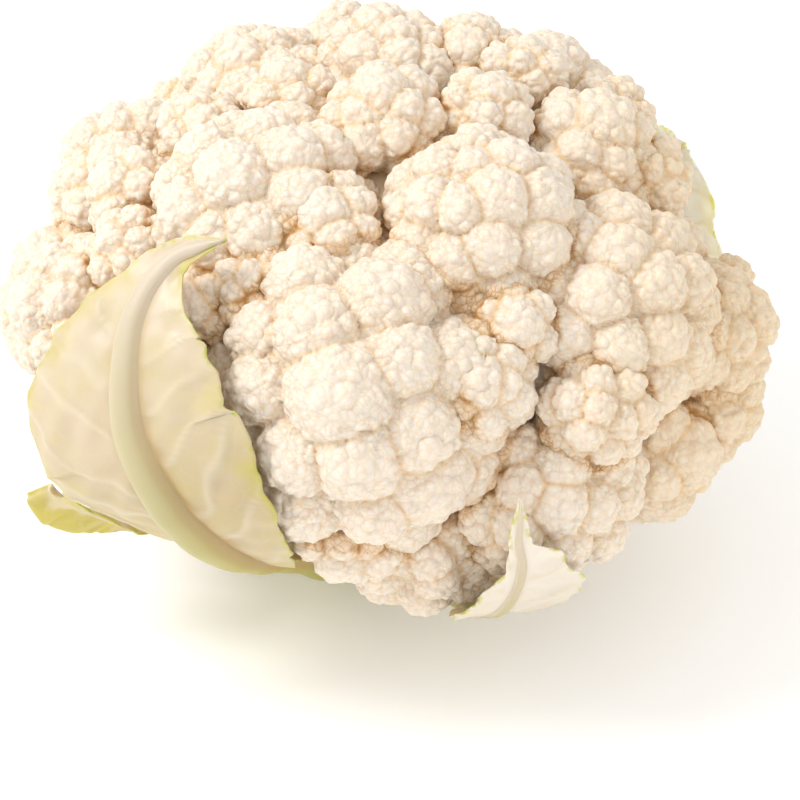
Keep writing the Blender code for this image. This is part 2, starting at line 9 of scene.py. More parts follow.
import bmesh
import bpy
import numpy as np
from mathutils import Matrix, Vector


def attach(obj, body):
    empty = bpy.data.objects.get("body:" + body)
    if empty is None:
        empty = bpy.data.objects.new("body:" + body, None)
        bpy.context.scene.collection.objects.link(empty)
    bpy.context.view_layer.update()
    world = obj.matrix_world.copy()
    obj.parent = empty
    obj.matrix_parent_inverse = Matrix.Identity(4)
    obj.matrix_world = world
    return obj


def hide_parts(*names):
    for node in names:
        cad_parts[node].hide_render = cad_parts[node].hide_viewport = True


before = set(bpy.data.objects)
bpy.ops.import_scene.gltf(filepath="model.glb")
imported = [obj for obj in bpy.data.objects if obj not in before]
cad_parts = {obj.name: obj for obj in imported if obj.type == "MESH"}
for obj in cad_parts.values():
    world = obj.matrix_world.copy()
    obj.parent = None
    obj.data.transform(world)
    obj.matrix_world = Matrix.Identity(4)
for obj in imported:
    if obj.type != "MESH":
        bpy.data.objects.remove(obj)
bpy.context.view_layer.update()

MM = 0.001
SEED = 11
TOUCH = 0.3 * MM
GOLDEN_TURN = math.radians(137.508)
COARSER = 1.0

# The head's outer form is an ellipsoid that the florets' tops reach
HEAD_CENTRE = np.array([0.0, 0.0, 69.0]) * MM
HEAD_HALF = np.array([95.0, 90.0, 68.0]) * MM

# The main florets of the side that the usual view shows, and those in the hollow behind the leaf at
# the back right: azimuth and elevation on the head in degrees, radius in mm, and how far the top lies
# below the head's outer form in mm
FLORETS = {
    "front": (263, 23, 37.5, -3),
    "front_side": (285, 25, 14, 2),
    "centre": (300, 59, 24.5, -2),
    "right": (322, 31, 28, -1),
    "right_low": (305, 12, 14, 0),
    "low_mid": (299, -17, 23.5, -1),
    "bottom": (277, -39, 21, 2),
    "bottom_left": (263, -21, 14, 3),
    "bottom_right": (294, -37, 16, 3),
    "left_up": (219, 60, 28, -1),
    "left_far": (164, 33, 21.5, 0),
    "left_low": (199, 15, 19, -1),
    "left_lower": (201, -15, 18, 2),
    "left_bottom": (232, -2, 20, 8),
    "top_left": (132, 52, 21, 0),
    "top": (91, 70, 18.5, 0),
    "top_back": (59, 65, 13.5, 0),
    "top_mid": (257, 85, 16, 1),
    "top_mid_right": (350, 75, 12, 1),
    "right_up": (358, 56, 17, 0),
    "top_right": (35, 64, 12, 0),
    "far_right_up": (358, 44, 12, 3),
    "far_right": (342, 8, 17, 0),
    "far_right_low": (340, -14, 15, 0),
    "low_right": (329, -23, 16.5, 1),
    "low_right_side": (329, -30, 13, 2),
    "gap_mid": (294, 36, 11, 5),
    "left_up_side": (250, 59, 14, 4),
    "under_leaf_tip": (240, 42, 12, 5),
    "back_right_high": (26, 25, 19, 15),
    "back_right": (18, 4, 20, 17),
    "back_right_side": (42, 8, 20, 14),
    "back_right_low": (24, -18, 17, 13),
    "recess": (5, 19, 14, 18),
}
# The florets that cover the rest of the head by a rule: trial places, sizes and least spacing
PLACES = 900
LOWEST = math.radians(-30)
COVERING_RADIUS = 25 * MM
COVERING_VARIETY = (0.82, 1.15)
FLORET_CROWDING = 1.5
# Small florets in the gaps: how deep they sit, the least room for one, and their radii
GAP_DEPTH = 13 * MM
GAP_ROOM = 2.5 * MM
GAP_RADIUS = 7.5 * MM
GAP_WIDEST = 12 * MM
FLORET_SQUASH = 0.86
FLORET_FLOOR = 0.80
# Leaf stalks pass under the head here: azimuth and half width in degrees, below this height
STALK_GAPS = ((228, 32), (290, 14), (26, 24), (130, 24))
STALKS_BELOW = math.sin(math.radians(-7))
# Small florets stay out of the hollow: its azimuth and half width, lowest and highest elevation
HOLLOW = (15, 28)
HOLLOW_HEIGHTS = (math.sin(math.radians(-4)), math.sin(math.radians(36)))

# How lobes cover a floret: trial places, how far down they go, their jitter, their sizes at the top and at
# the rim, how much these vary, and the least spacing. Then the size of a lobe and its growth
LOBE_COVER = {
    "count": 700, "spread": math.radians(108), "jitter": 0.03, "at_top": 0.85, "at_rim": 1.2,
    "variety": (0.7, 1.38), "crowding": 1.55,
}
LOBE_SMALLEST = 3.5 * MM
LOBE_SHARE = 0.205
HIDDEN_LOBES_WIDER = 1.25
# A lobe's ball against the lobe's size, and how far its top stands over the dome, in sizes
LOBE_BALL = 1.3
LOBE_RISE = (0.06, 0.34)

# The core that the florets stand out of: its size as a share of the head's, and its outline's steps
CORE_SHARE = 0.72
CORE_STEPS = (-18, 0, 18, 36, 54, 72, 90)
CORE_SIDES = 64
CORE_WAIST = 36 * MM
# Florets lower than this show their branches, which spread from one point and taper towards it
BRANCHES_BELOW = 62 * MM
BRANCHING_POINT = np.array([0.0, 0.0, 40.0]) * MM
BRANCH_SHARE = 0.36
BRANCH_TAPER = 0.8
STEM_RADIUS = 19 * MM
STEM_TOP = 24 * MM
STEM_CHAMFER = 1 * MM
STEM_STEP = 1.5 * MM
STEM_SIDES = 96
# The stubs of cut stalks: their azimuths, the heights of their two ends, length and radius
STUB_TURNS = (61, 95, 163, 322, 352)
STUB_ROOT_HEIGHT = 6.5 * MM
STUB_END_HEIGHT = 11 * MM
STUB_LENGTH = 5 * MM
STUB_RADIUS = 4.5 * MM

# The way to the usual view, and how far a floret must face it to count as shown
USUAL_VIEW = np.array([0.0, -0.83, 0.56])
SHOWN_FROM = 0.15
# A way that no axis here points in, to build frames from
SIDEWAYS = (0.31, 0.17, 0.93)

# The edges of the curd's mesh on the side that the usual view shows, on the other side, underneath, and
# where another floret hides it; and how fast they grow with the depth inside another
FINE_EDGE = 0.73 * MM * COARSER
BACK_EDGE = 1.55 * MM * COARSER
UNDER_EDGE = 2.2 * MM * COARSER
HIDDEN_EDGE = 6 * MM
EDGE_GROWTH = 1.8
MOST_SPLITS = 10
# A floret's inner ball hides what lies inside it: its size as a share of the floret's radius
HIDING_SHARE = 0.9

# How lumps cover each lobe, in the same way. Then their spacing on a lobe of no size and its growth with
# the lobe's radius, how round they are, how much their heights vary, and how much of these shows on the
# lobe's top and at its rim
LUMP_COVER = {
    "count": 260, "spread": math.radians(112), "jitter": 0.08, "at_top": 1.0, "at_rim": 0.9,
    "variety": (0.62, 1.4), "crowding": 1.0,
}
LUMP_SPACING = 2.5 * MM
LUMP_GROWTH = 0.13
LUMP_ROUNDNESS = 0.86
LUMP_RISE = 0.05
LUMP_GAIN = (0.8, 1.1)
LUMP_DEEPEST = 0.3
LUMP_WARP = 0.4 * MM
LUMP_WARP_LENGTH = 6 * MM
# Buds lie on the lumps: their size, how their sizes are stirred, how high they stand at a lobe's top and
# at its rim, and how wide the creases between them are, as a share of their size
BUD_SIZE = 1.9 * MM
BUD_STIRRED = 2.2 * MM
BUD_HEIGHTS = (0.5, 1.0)
BUD_CREASE = 0.11
# Creases get painted shade this far from their bottom
LUMP_CREASE = 0.4 * MM
LOBE_CREASE = 0.7 * MM
# Creases between lobes are sunk by this much, starting this far from them
LOBE_SINKING = 0.7 * MM
LOBE_ROUNDING = 2.4 * MM
# Lobes get lumps down to this depth inside other florets
LUMPS_DOWN_TO = 3 * MM
# Gaps between florets get painted shade this far from where the florets meet, each grown by this share
FLORET_GAP = 2.2 * MM
GAP_SHARE = 1.02
# How often a net is evened out, and its normals smoothed
RELAXING = 2
NORMAL_SMOOTHING = 4

# The skins of trunk and stem: the size of their squares and how often they are smoothed; a branch's
# rings and sides, its ridges as a share of its radius, and its waviness
TRUNK_VOXEL = 1.9 * MM
TRUNK_SMOOTHING = 3
STEM_VOXEL = 0.85 * MM
STEM_SMOOTHING = 2
BRANCH_RINGS = 14
BRANCH_SIDES = 20
BRANCH_RIDGES = 0.06
RIDGE_COUNT = 5
BRANCH_WAVE = 0.8 * MM
BRANCH_WAVE_LENGTH = 18 * MM
STUB_WAVE_LENGTH = 14 * MM
# The stubs start this far out from the stem's middle, as a share of its radius
STUB_ROOT_SHARE = 0.7
# The trunk's foot: how much narrower it starts, and the height over which it widens
FOOT_CHAMFER = 1 * MM
FOOT_HEIGHT = 6 * MM

# How far leaves stay off the head, the spacing of their rows, and their columns beside and on the rib
LEAF_CLEARANCE = 1.2 * MM
LEAF_STEP = 1.0 * MM * COARSER
BLADE_COLUMNS = round(32 / COARSER)
RIB_COLUMNS = 13
# Balls this large, on every fourth point of a leaf, keep the next leaves off it
LEAF_BALL = 3 * MM
LEAF_THINNING = 4
# The blade's least width beside the rib, and the width in mm from which teeth and waves are full
SKIRT = 1.4 * MM
FULL_WIDTH = 12
# The rib is full from this share of the leaf's length; its width and height at the tip are these
# shares of the full ones, and it stands this much higher than in the solids
RIB_FULL_AT = 0.6
RIB_AT_TIP = 0.25
RIB_HEIGHT_AT_TIP = 0.15
RIB_FULLER = 1.7
# The leaf narrows to this share of itself over this length at its tip
TIP_LENGTH = 9 * MM
TIP_SHARE = 0.12
# How often the blade is smoothed while it keeps off the head, and then freely
LEAF_SMOOTHING = 40
FREE_SMOOTHING = 10
# The margin's waves and teeth, the teeth's share, and how far apart the two margins' waves are read
EDGE_WAVE_LENGTH = 11 * MM
EDGE_TOOTH_LENGTH = 3 * MM
TEETH_SHARE = 0.5
MARGINS_APART = 0.1
# Side veins: their spacing along the rib, how far they lean towards the tip, their bend, waviness,
# width and height, how far from the rib they are full, and their share at the margin; and the
# crumpling of the blade between them
VEIN_SPACING = 13 * MM
VEIN_LEAN = 0.3
VEIN_BEND = 13.0
VEIN_WAVE = 1.9 * MM
VEIN_WAVE_LENGTH = 17 * MM
VEIN_WIDTH = 1.1 * MM
VEIN_HEIGHT = 0.5 * MM
VEIN_START = 2 * MM
VEIN_AT_MARGIN = 0.3
CRUMPLE = 0.8 * MM
CRUMPLE_LENGTH = 9 * MM
# The margin: how wide its thinner band is, how thick it is at the edge, and how wide its toothed line is
MARGIN_WIDTH = 6 * MM
MARGIN_THICKNESS = 0.55
MARGIN_LINE = 1.2 * MM
# The rib's colour fades out here, and its shaded side lies here, both in half widths of the rib
RIB_COLOUR_REACH = 1.3
RIB_SHADE_AT = 1.15
RIB_SHADE_WIDTH = 0.45
RIB_SHADE_GROWTH = 1.6

# Where most of a noise's values lie
NOISE_RANGE = (0.35, 0.65)
# Colours
CURD_PALE = (0.87, 0.785, 0.68)
CURD_CREAM = (0.865, 0.765, 0.65)
# The tan is partly the curd's own tone and partly painted shade of the side away from the key light
CURD_TAN_AND_SHADE = (0.84, 0.69, 0.49)
# Painted warm shade for the creases, and deeper painted shade for the gaps between florets
CURD_CREASE_SHADE = (0.85, 0.60, 0.32)
CURD_DEEP_SHADE = (0.55, 0.30, 0.11)
TRUNK_WARM = (0.74, 0.60, 0.42)
TRUNK_GREEN = (0.62, 0.62, 0.36)
LEAF_TOP = (0.73, 0.63, 0.52)
LEAF_CREAM = (0.575, 0.47, 0.30)
LEAF_BEIGE = (0.555, 0.435, 0.27)
LEAF_PALE = (0.97, 0.92, 0.87)
LEAF_GREEN = (0.56, 0.485, 0.12)
LEAF_VEIN = (0.69, 0.60, 0.44)
LEAF_RIB = (0.41, 0.375, 0.05)
LEAF_SHADE = (0.45, 0.28, 0.10)
LEAF_RIB_TIP = (0.65, 0.56, 0.44)
LEAF_MARGIN = (0.50, 0.52, 0.08)
STEM_SKIN = (0.62, 0.64, 0.36)
STEM_PALE = (0.74, 0.74, 0.50)
# The curd's tints: the size of their blotches, where the tan of its right side (partly the curd's own tone,
# partly painted shade of the side away from the key light) begins and is full, its share and how far it
# wanders, how far from a lobe's top buds grow, the size of the blotches that stir them and their bump, and
# how much painted shade the creases between buds, lumps and lobes and the gaps between florets get
TINT_BLOTCH = 28 * MM
TAN_AND_SHADE_PLACES = (50 * MM, 100 * MM)
TAN_AND_SHADE_SHARE = 0.85
TAN_AND_SHADE_WANDER = 30 * MM
BUD_RIM = (0.15, 0.6)
BUD_STIR_SIZE = 5 * MM
BUD_BUMP = 0.55
BUD_SHADE = 0.6
LUMP_SHADE = 0.75
LOBE_SHADE = 0.95
GAP_SHADE = 0.35
CREASE_POWER = 1.5
# The heights between which the trunk turns green, and how far these wander
TRUNK_GREENS = (34 * MM, 50 * MM)
TRUNK_WANDER = 12 * MM
# The leaves' tints: green patches, their size, where a noise makes them, and the green in and between
# them; blotches; the faint net between the veins; the shares of the leaf's length over which the colours
# of its tip and of the rib there fade; the rib's lit side and its edges; and the dots along the margin
PATCH_SIZE = 11 * MM
PATCH_RANGE = (0.42, 0.66)
PATCH_GREEN = 0.85
GREEN_BETWEEN = 0.25
LEAF_BLOTCH = 24 * MM
NET_SIZE = 7 * MM
NET_LINE = 0.05
NET_TINT = 0.12
NET_STIRRED = 5 * MM
VEIN_TINT = 0.6
TIP_FADES = (0.1, 0.45)
RIB_TIP_FADES = (0.1, 0.7)
RIB_LIT_SIDE = (0.55, 0.95)
RIB_LIT = 0.7
RIB_EDGE = (0.35, 0.75)
DOT_SIZE = 2.6 * MM
DOT_RANGE = (0.5, 0.6)
DOT_TINT = 0.85
# The grain of each skin: its size, depth and strength. Then how rough curd and leaves are
CURD_GRAIN = (0.5 * MM, 0.05 * MM, 0.4)
TRUNK_GRAIN = (1.2 * MM, 0.2 * MM, 0.4)
LEAF_GRAIN = (0.7 * MM, 0.05 * MM, 0.5)
STEM_GRAIN = (0.9 * MM, 0.15 * MM, 0.5)
CURD_ROUGH = (0.5, 0.62)
LEAF_ROUGH = (0.38, 0.5)
# Light in the skins: the share that goes in, how far each colour goes, and the scale of that
CURD_SCATTER = (0.35, (1.0, 0.62, 0.38), 2.5 * MM)
TRUNK_SCATTER = (0.25, (1.0, 0.8, 0.4), 2 * MM)
STEM_SCATTER = (0.2, (1.0, 0.9, 0.4), 2 * MM)
LEAF_THROUGH = (1.0, 0.8, 0.45)

# The camera stands at the usual view, and the frame is this wide at the head
CAMERA_TARGET = (0.002, 0, 0.0405)
CAMERA_ELEVATION = math.radians(34)
CAMERA_DISTANCE = 0.85
VIEW_WIDTH = 0.2005
SENSOR = 36

# The floor's half side in metres and its colours, its own faint light, and the sky's
FLOOR_HALF = 3
FLOOR_COLOUR = (0.97, 0.97, 0.965, 1)
GLOW_COLOUR = (1, 1, 0.985, 1)
SKY_COLOUR = (1, 1, 1, 1)
FLOOR_GLOW = 0.175
SKY_STRENGTH = 0.85
# Lights: place, size in metres, power in watts and colour
LIGHTS = {
    "key": ((-0.62, -0.1, 0.79), 0.4, 4.9, (1, 0.98, 0.95)),
    "fill": ((0.7, -0.6, 0.5), 0.6, 0.7, (1, 0.96, 0.92)),
}

# The leaves, lowest first. Each row runs from the tip down the rib to the stalk's end: azimuth and
# elevation of the rib seen from the head's middle, its distance from there as a share of the head's
# outer form, and the widths to the left and right margins in mm. The other sizes are in mm too. Scatter
# is the share of the light that goes through the leaf, and how far
LEAVES = {
    "leaf_low_left": {
        "rib": 3.5, "rib_height": 2, "thickness": 1, "tooth": 1.2, "wave": 1.5, "wave_length": 17,
        "flare": (14, 0), "green": 1.7, "green_margin": 0.3, "pale": 0, "shade": 0, "scatter": (0.4, 1.5),
        "rows": (
            (206, -16, 1.05, 3, 4), (207, -18, 1.04, 7.5, 7), (209, -20, 1.02, 10, 9),
            (213, -25, 0.97, 8.5, 8), (215, -33, 0.89, 4, 3), (213, -43, 0.86, 0, 0),
            (206, -55, 0.87, 0, 0), (199, -71, 0.91, 0, 0),
        ),
    },
    "leaf_left": {
        "rib": 6.3, "rib_height": 4.5, "thickness": 1, "tooth": 0.8, "wave": 2, "wave_length": 24,
        "flare": (1, 0), "green": 0.3, "green_margin": 0.5, "pale": 0, "shade": 0.9,
        "scatter": (0.4, 1.5),
        "rows": (
            (237, 38, 1.06, 0.5, 0.5), (233, 36, 1.06, 2, 2), (229, 33, 1.06, 4, 5),
            (227, 28, 1.05, 8, 12), (227, 23, 1.05, 14, 18), (228, 19, 1.05, 22, 21),
            (230, 13, 1.05, 30, 25), (232, 8, 1.05, 33, 28), (234.5, 4, 1.05, 35, 29),
            (237.5, -2, 1.03, 35, 27), (240, -10, 0.98, 32, 23), (241.5, -17, 0.93, 25, 17),
            (242, -25, 0.87, 15, 10), (242, -34, 0.82, 6, 4), (242, -45, 0.81, 0, 0),
            (243, -58, 0.86, 0, 0), (244, -72, 0.9, 0, 0),
        ),
    },
    "leaf_front": {
        "rib": 2.2, "rib_height": 1.6, "thickness": 0.9, "tooth": 0.5, "wave": 1, "wave_length": 15,
        "flare": (0, 1), "green": 0.0, "green_margin": 0.1, "pale": 0.45, "shade": 0.2,
        "scatter": (0.5, 2),
        "rows": (
            (288, 3, 1.03, 0.3, 0.3), (288, -1, 1.03, 1.2, 1.2), (288, -5, 1.03, 2, 3),
            (289, -10, 1.03, 4, 10), (289, -17, 1.03, 8, 17), (288.5, -24, 1.03, 11, 17),
            (288, -32, 1.0, 8, 10), (288, -45, 0.96, 0, 0), (288, -56, 0.93, 0, 0),
            (288, -72, 0.9, 0, 0),
        ),
    },
    "leaf_back_right": {
        "rib": 3.5, "rib_height": 2.5, "thickness": 1, "tooth": 0.8, "wave": 1.5, "wave_length": 20,
        "flare": (1, 1), "green": 0.0, "green_margin": 0.5, "pale": 1, "shade": 0, "scatter": (1, 7),
        "rows": (
            (22, 20, 0.92, 0.3, 0.3), (26, 17, 0.93, 2, 2), (31, 13, 0.94, 7, 7),
            (34, 8, 0.95, 13, 12), (37, 1, 0.95, 20, 17), (38, -6, 0.95, 25, 20),
            (38, -14, 0.94, 23, 18), (37, -22, 0.92, 12, 12), (35, -31, 0.9, 4, 4),
            (31, -42, 0.88, 0, 0), (28, -56, 0.87, 0, 0), (26, -72, 0.9, 0, 0),
        ),
    },
    "leaf_back": {
        "rib": 3.5, "rib_height": 2.5, "thickness": 1, "tooth": 1, "wave": 2, "wave_length": 20,
        "flare": (1, 1), "green": 0.3, "green_margin": 0.6, "pale": 0.2, "shade": 0.3,
        "scatter": (0.4, 1.5),
        "rows": (
            (128, 6, 1.06, 4, 6), (129, 0, 1.06, 14, 15), (130, -8, 1.05, 20, 19),
            (130, -18, 1.02, 16, 15), (130, -28, 0.96, 6, 6), (130, -42, 0.9, 0, 0),
            (130, -58, 0.87, 0, 0), (130, -72, 0.9, 0, 0),
        ),
    },
}


def unit(vectors):
    return vectors / np.linalg.norm(vectors, axis=-1, keepdims=True)


def direction(azimuth, elevation):
    level = math.cos(elevation)
    return np.array([level * math.cos(azimuth), level * math.sin(azimuth), math.sin(elevation)])


def turned_to(axis):
    """A frame whose +Z is the axis."""
    side = unit(np.cross(axis, SIDEWAYS))
    return np.stack([side, np.cross(axis, side), axis], axis=1)


def farthest_hits(directions, centres, radii, floor):
    """How far a ray from the origin runs before it leaves the last of the balls, or the floor if farther."""
    along = directions @ centres.T
    inside = radii**2 - np.sum(centres**2, axis=1) + along**2
    reach = np.where(inside > 0, along + np.sqrt(np.maximum(inside, 0)), -1)
    return np.maximum(reach.max(axis=1), floor)


def cover(rng, size, sphere, count, spread, jitter, at_top, at_rim, variety, crowding):
    """Directions round +Z that cover a dome, each as far from the others as its size asks."""
    height = 1 - (np.arange(count) + 0.5) / count * (1 - math.cos(spread))
    turn = np.arange(count) * GOLDEN_TURN + rng.uniform(0, 2 * math.pi)
    ring = np.sqrt(1 - height**2)
    points = np.stack([ring * np.cos(turn), ring * np.sin(turn), height], axis=1)
    points = unit(points + rng.normal(0, jitter, points.shape))
    angle = np.arccos(np.clip(points[:, 2], -1, 1))
    sizes = size * (at_top + (at_rim - at_top) * angle / spread) * rng.uniform(*variety, count)
    chosen = [int(rng.integers(0, 12))]
    room = np.full(count, np.inf)
    while True:
        last = chosen[-1]
        apart = np.arccos(np.clip(points @ points[last], -1, 1)) * sphere
        room = np.minimum(room, apart / (0.5 * (sizes + sizes[last])))
        best = int(room.argmax())
        if room[best] < crowding:
            return points[chosen], sizes[chosen]
        chosen.append(best)


def on_head(azimuth, elevation):
    """The point of the head's outer form there, and the way out of it."""
    point = direction(azimuth, elevation)
    return HEAD_CENTRE + point * HEAD_HALF, unit(point / HEAD_HALF)


def floret_places():
    """(point on the head's outer form, way out, radius) of every floret: the listed ones, the ones that
    cover the side away from the usual view, then small ones in the gaps between them."""
    rng = np.random.default_rng(SEED)
    lowest = math.sin(LOWEST)
    heights = lowest + (1 - lowest) * (np.arange(PLACES) + 0.5) / PLACES
    turns = np.arange(PLACES) * GOLDEN_TURN
    points, outs = (np.array(v) for v in zip(*(on_head(t, math.asin(h)) for t, h in zip(turns, heights))))
    free = np.array([not kept_free(turn, height) for turn, height in zip(turns, heights)])
    hidden = free & (outs @ USUAL_VIEW < SHOWN_FROM)
    places = []
    for azimuth, elevation, radius, below in FLORETS.values():
        point, out = on_head(math.radians(azimuth), math.radians(elevation))
        places.append((point - out * below * MM, out, radius * MM))
    sizes = COVERING_RADIUS * rng.uniform(*COVERING_VARIETY, PLACES)
    room = np.full(PLACES, np.inf)
    for point, out, radius in places:
        room = np.minimum(room, np.linalg.norm(points - point, axis=1) / (0.5 * (sizes + radius)))
    while True:
        best = int(np.where(hidden, room, 0).argmax())
        if room[best] < FLORET_CROWDING:
            break
        places.append((points[best], outs[best], sizes[best]))
        apart = np.linalg.norm(points - points[best], axis=1)
        room = np.minimum(room, apart / (0.5 * (sizes + sizes[best])))
    middles = points - outs * GAP_DEPTH
    room = np.full(PLACES, np.inf)
    for point, out, radius in places:
        centre = point - out * radius * FLORET_SQUASH
        room = np.minimum(room, np.linalg.norm(middles - centre, axis=1) - radius)
    while True:
        best = int(np.where(free, room, -1).argmax())
        if room[best] < GAP_ROOM:
            return places
        radius = min(GAP_WIDEST, GAP_RADIUS + room[best])
        places.append((middles[best] + outs[best] * radius * FLORET_SQUASH, outs[best], radius))
        apart = np.linalg.norm(middles - middles[best], axis=1)
        room = np.minimum(room, apart - radius)


def within(turn, middle, half):
    """Whether a turn lies within half of the middle, both in degrees."""
    return abs((math.degrees(turn) - middle + 180) % 360 - 180) < half


def kept_free(turn, height):
    """Whether a leaf's stalk, or the hollow behind a leaf, needs this part of the head."""
    if HOLLOW_HEIGHTS[0] < height < HOLLOW_HEIGHTS[1] and within(turn, *HOLLOW):
        return True
    return height < STALKS_BELOW and any(within(turn, *gap) for gap in STALK_GAPS)


class Floret:
    """One main floret: a dome of lobes about its own centre, +Z of its frame pointing out of the head."""

    def __init__(self, place, seed):
        point, self.out, self.radius = place
        self.centre = point - self.out * self.radius * FLORET_SQUASH
        self.frame = turned_to(self.out)
        rng = np.random.default_rng(SEED * 1000 + seed)
        size = LOBE_SMALLEST + LOBE_SHARE * self.radius
        if self.out @ USUAL_VIEW < SHOWN_FROM:
            size *= HIDDEN_LOBES_WIDER
        self.tops, self.sizes = cover(rng, size, self.radius, **LOBE_COVER)
        rise = rng.uniform(*LOBE_RISE, len(self.sizes)) * self.sizes
        self.sizes = self.sizes * LOBE_BALL
        self.lobes = self.dome(self.tops) * (1 - (self.sizes - rise) / self.radius)[:, None]

    def dome(self, directions):
        """The plain dome under the lobes, flatter at its top than at its sides."""
        return directions * np.array([1, 1, FLORET_SQUASH]) * self.radius

    def surface(self, directions):
        """Points of the floret's surface in these directions of its own frame."""
        floor = np.linalg.norm(self.dome(directions), axis=1) * FLORET_FLOOR
        return directions * farthest_hits(directions, self.lobes, self.sizes, floor)[:, None]

    def to_head(self, points):
        return points @ self.frame.T + self.centre


class Waves:
    """Smooth noise: sine waves that run in random ways, about as long as asked."""

    def __init__(self, seed, length, count=10):
        rng = np.random.default_rng(seed)
        ways = unit(rng.normal(size=(count, 3)))
        self.ways = ways * (2 * math.pi / length * rng.uniform(0.6, 1.6, count))[:, None]
        self.phases = rng.uniform(0, 2 * math.pi, (count, 3))

    def at(self, points):
        """Three values, mostly from -1 to 1, at each point."""
        along = points @ self.ways.T
        return np.sin(along[:, :, None] + self.phases).sum(axis=1) / math.sqrt(len(self.ways))


WARP = Waves(SEED + 3, LUMP_WARP_LENGTH)


def sphere_net():
    """Directions and triangles of an even net over a sphere."""
    work = bmesh.new()
    bmesh.ops.create_icosphere(work, subdivisions=3, radius=1)
    directions = unit(np.array([v.co for v in work.verts]))
    faces = np.array([[v.index for v in f.verts] for f in work.faces])
    work.free()
    return directions, faces


def edges_of(faces, count):
    """The two ends of every edge, and for each triangle the numbers of its three edges."""
    pairs = faces[:, [[0, 1], [1, 2], [2, 0]]]
    keys = pairs.min(axis=2).astype(np.int64) * count + pairs.max(axis=2)
    unique, numbers = np.unique(keys.ravel(), return_inverse=True)
    return np.stack([unique // count, unique % count], axis=1), numbers.reshape(-1, 3)


def split_faces(faces, middles):
    """The triangles split at their edges' middles. A middle of -1 is an edge that stays whole."""
    split = (middles >= 0).sum(axis=1)
    parts = [faces[split == 0]]
    whole = split == 3
    a, b, c = faces[whole].T
    ab, bc, ca = middles[whole].T
    parts += [np.stack(t, axis=1) for t in ((a, ab, ca), (ab, b, bc), (ca, bc, c), (ab, bc, ca))]
    for k in range(3):
        after, last = (k + 1) % 3, (k + 2) % 3
        one = (split == 1) & (middles[:, k] >= 0)
        a, b, c, middle = faces[one, k], faces[one, after], faces[one, last], middles[one, k]
        parts += [np.stack(t, axis=1) for t in ((a, middle, c), (middle, b, c))]
        two = (split == 2) & (middles[:, k] < 0)
        a, b, c = faces[two, k], faces[two, after], faces[two, last]
        bc, ca = middles[two, after], middles[two, last]
        parts += [np.stack(t, axis=1) for t in ((c, ca, bc), (a, b, bc), (a, bc, ca))]
    return np.concatenate(parts)


def neighbour_mean(values, ends):
    """The mean of each point's neighbours."""
    count = len(values)
    both = np.concatenate([ends, ends[:, ::-1]])
    share = np.bincount(both[:, 0], minlength=count)
    sums = [np.bincount(both[:, 0], values[both[:, 1], k], count) for k in range(values.shape[1])]
    return np.stack(sums, axis=1) / share[:, None]


def point_normals(points, faces, ends, smoothing):
    """Outward normals at the points, smoothed over their neighbours this many times."""
    a, b, c = (points[faces[:, k]] for k in range(3))
    flat = np.cross(b - a, c - a)
    normals = sum(
        np.stack([np.bincount(faces[:, k], flat[:, axis], len(points)) for axis in range(3)], axis=1)
        for k in range(3)
    )
    normals = unit(normals)
    for _ in range(smoothing):
        normals = unit(normals + neighbour_mean(normals, ends))
    return normals


def depth_inside(points, florets, share):
    """How deep each point lies inside the core, or inside the other florets' balls when they have this
    share of their own radius; negative outside."""
    apart = (points - HEAD_CENTRE) / (HEAD_HALF * CORE_SHARE)
    depth = (1 - np.linalg.norm(apart, axis=1)) * HEAD_HALF.min() * CORE_SHARE
    for other in florets:
        local = (points - other.centre) @ other.frame / np.array([1, 1, FLORET_SQUASH])
        depth = np.maximum(depth, other.radius * share - np.linalg.norm(local, axis=1))
    return depth


def wanted_edges(floret, points, near):
    """How long the mesh's edges may be at each of these points of the floret."""
    local = floret.to_head(points)
    facing = unit(points @ floret.frame.T)
    shown = np.clip(0.5 + 1.5 * (facing @ USUAL_VIEW), 0, 1)
    edge = BACK_EDGE + (FINE_EDGE - BACK_EDGE) * shown
    under = np.clip(-2 * facing[:, 2] - 0.6, 0, 1)
    edge = np.maximum(edge, UNDER_EDGE * under)
    edge += EDGE_GROWTH * np.maximum(0, depth_inside(local, near, HIDING_SHARE))
    return np.minimum(edge, HIDDEN_EDGE)


def refined_net(floret, near):
    """Directions and triangles of the floret's net, split until each edge is short enough."""
    directions, faces = sphere_net()
    places = floret.surface(directions)
    wanted = wanted_edges(floret, places, near)
    for _ in range(MOST_SPLITS):
        ends, numbers = edges_of(faces, len(directions))
        length = np.linalg.norm(places[ends[:, 0]] - places[ends[:, 1]], axis=1)
        long = length > wanted[ends].mean(axis=1)
        if not long.any():
            break
        middles = np.full(len(ends), -1)
        middles[long] = len(directions) + np.arange(long.sum())
        added = unit(directions[ends[long]].sum(axis=1))
        faces = split_faces(faces, middles[numbers])
        directions = np.concatenate([directions, added])
        added_places = floret.surface(added)
        places = np.concatenate([places, added_places])
        wanted = np.concatenate([wanted, wanted_edges(floret, added_places, near)])
    ends, _ = edges_of(faces, len(directions))
    for _ in range(RELAXING):
        directions = unit(0.5 * directions + 0.5 * neighbour_mean(directions, ends))
    return directions, faces, ends


def lobe_of(floret, directions):
    """The lobe that each direction meets last, and how far below it the next lobe lies there."""
    along = directions @ floret.lobes.T
    inside = floret.sizes**2 - np.sum(floret.lobes**2, axis=1) + along**2
    reach = np.where(inside > 0, along + np.sqrt(np.maximum(inside, 0)), inside)
    order = np.argsort(reach, axis=1)
    rows = np.arange(len(directions))
    first, second = order[:, -1], order[:, -2]
    return first, reach[rows, first] - np.maximum(0, reach[rows, second])


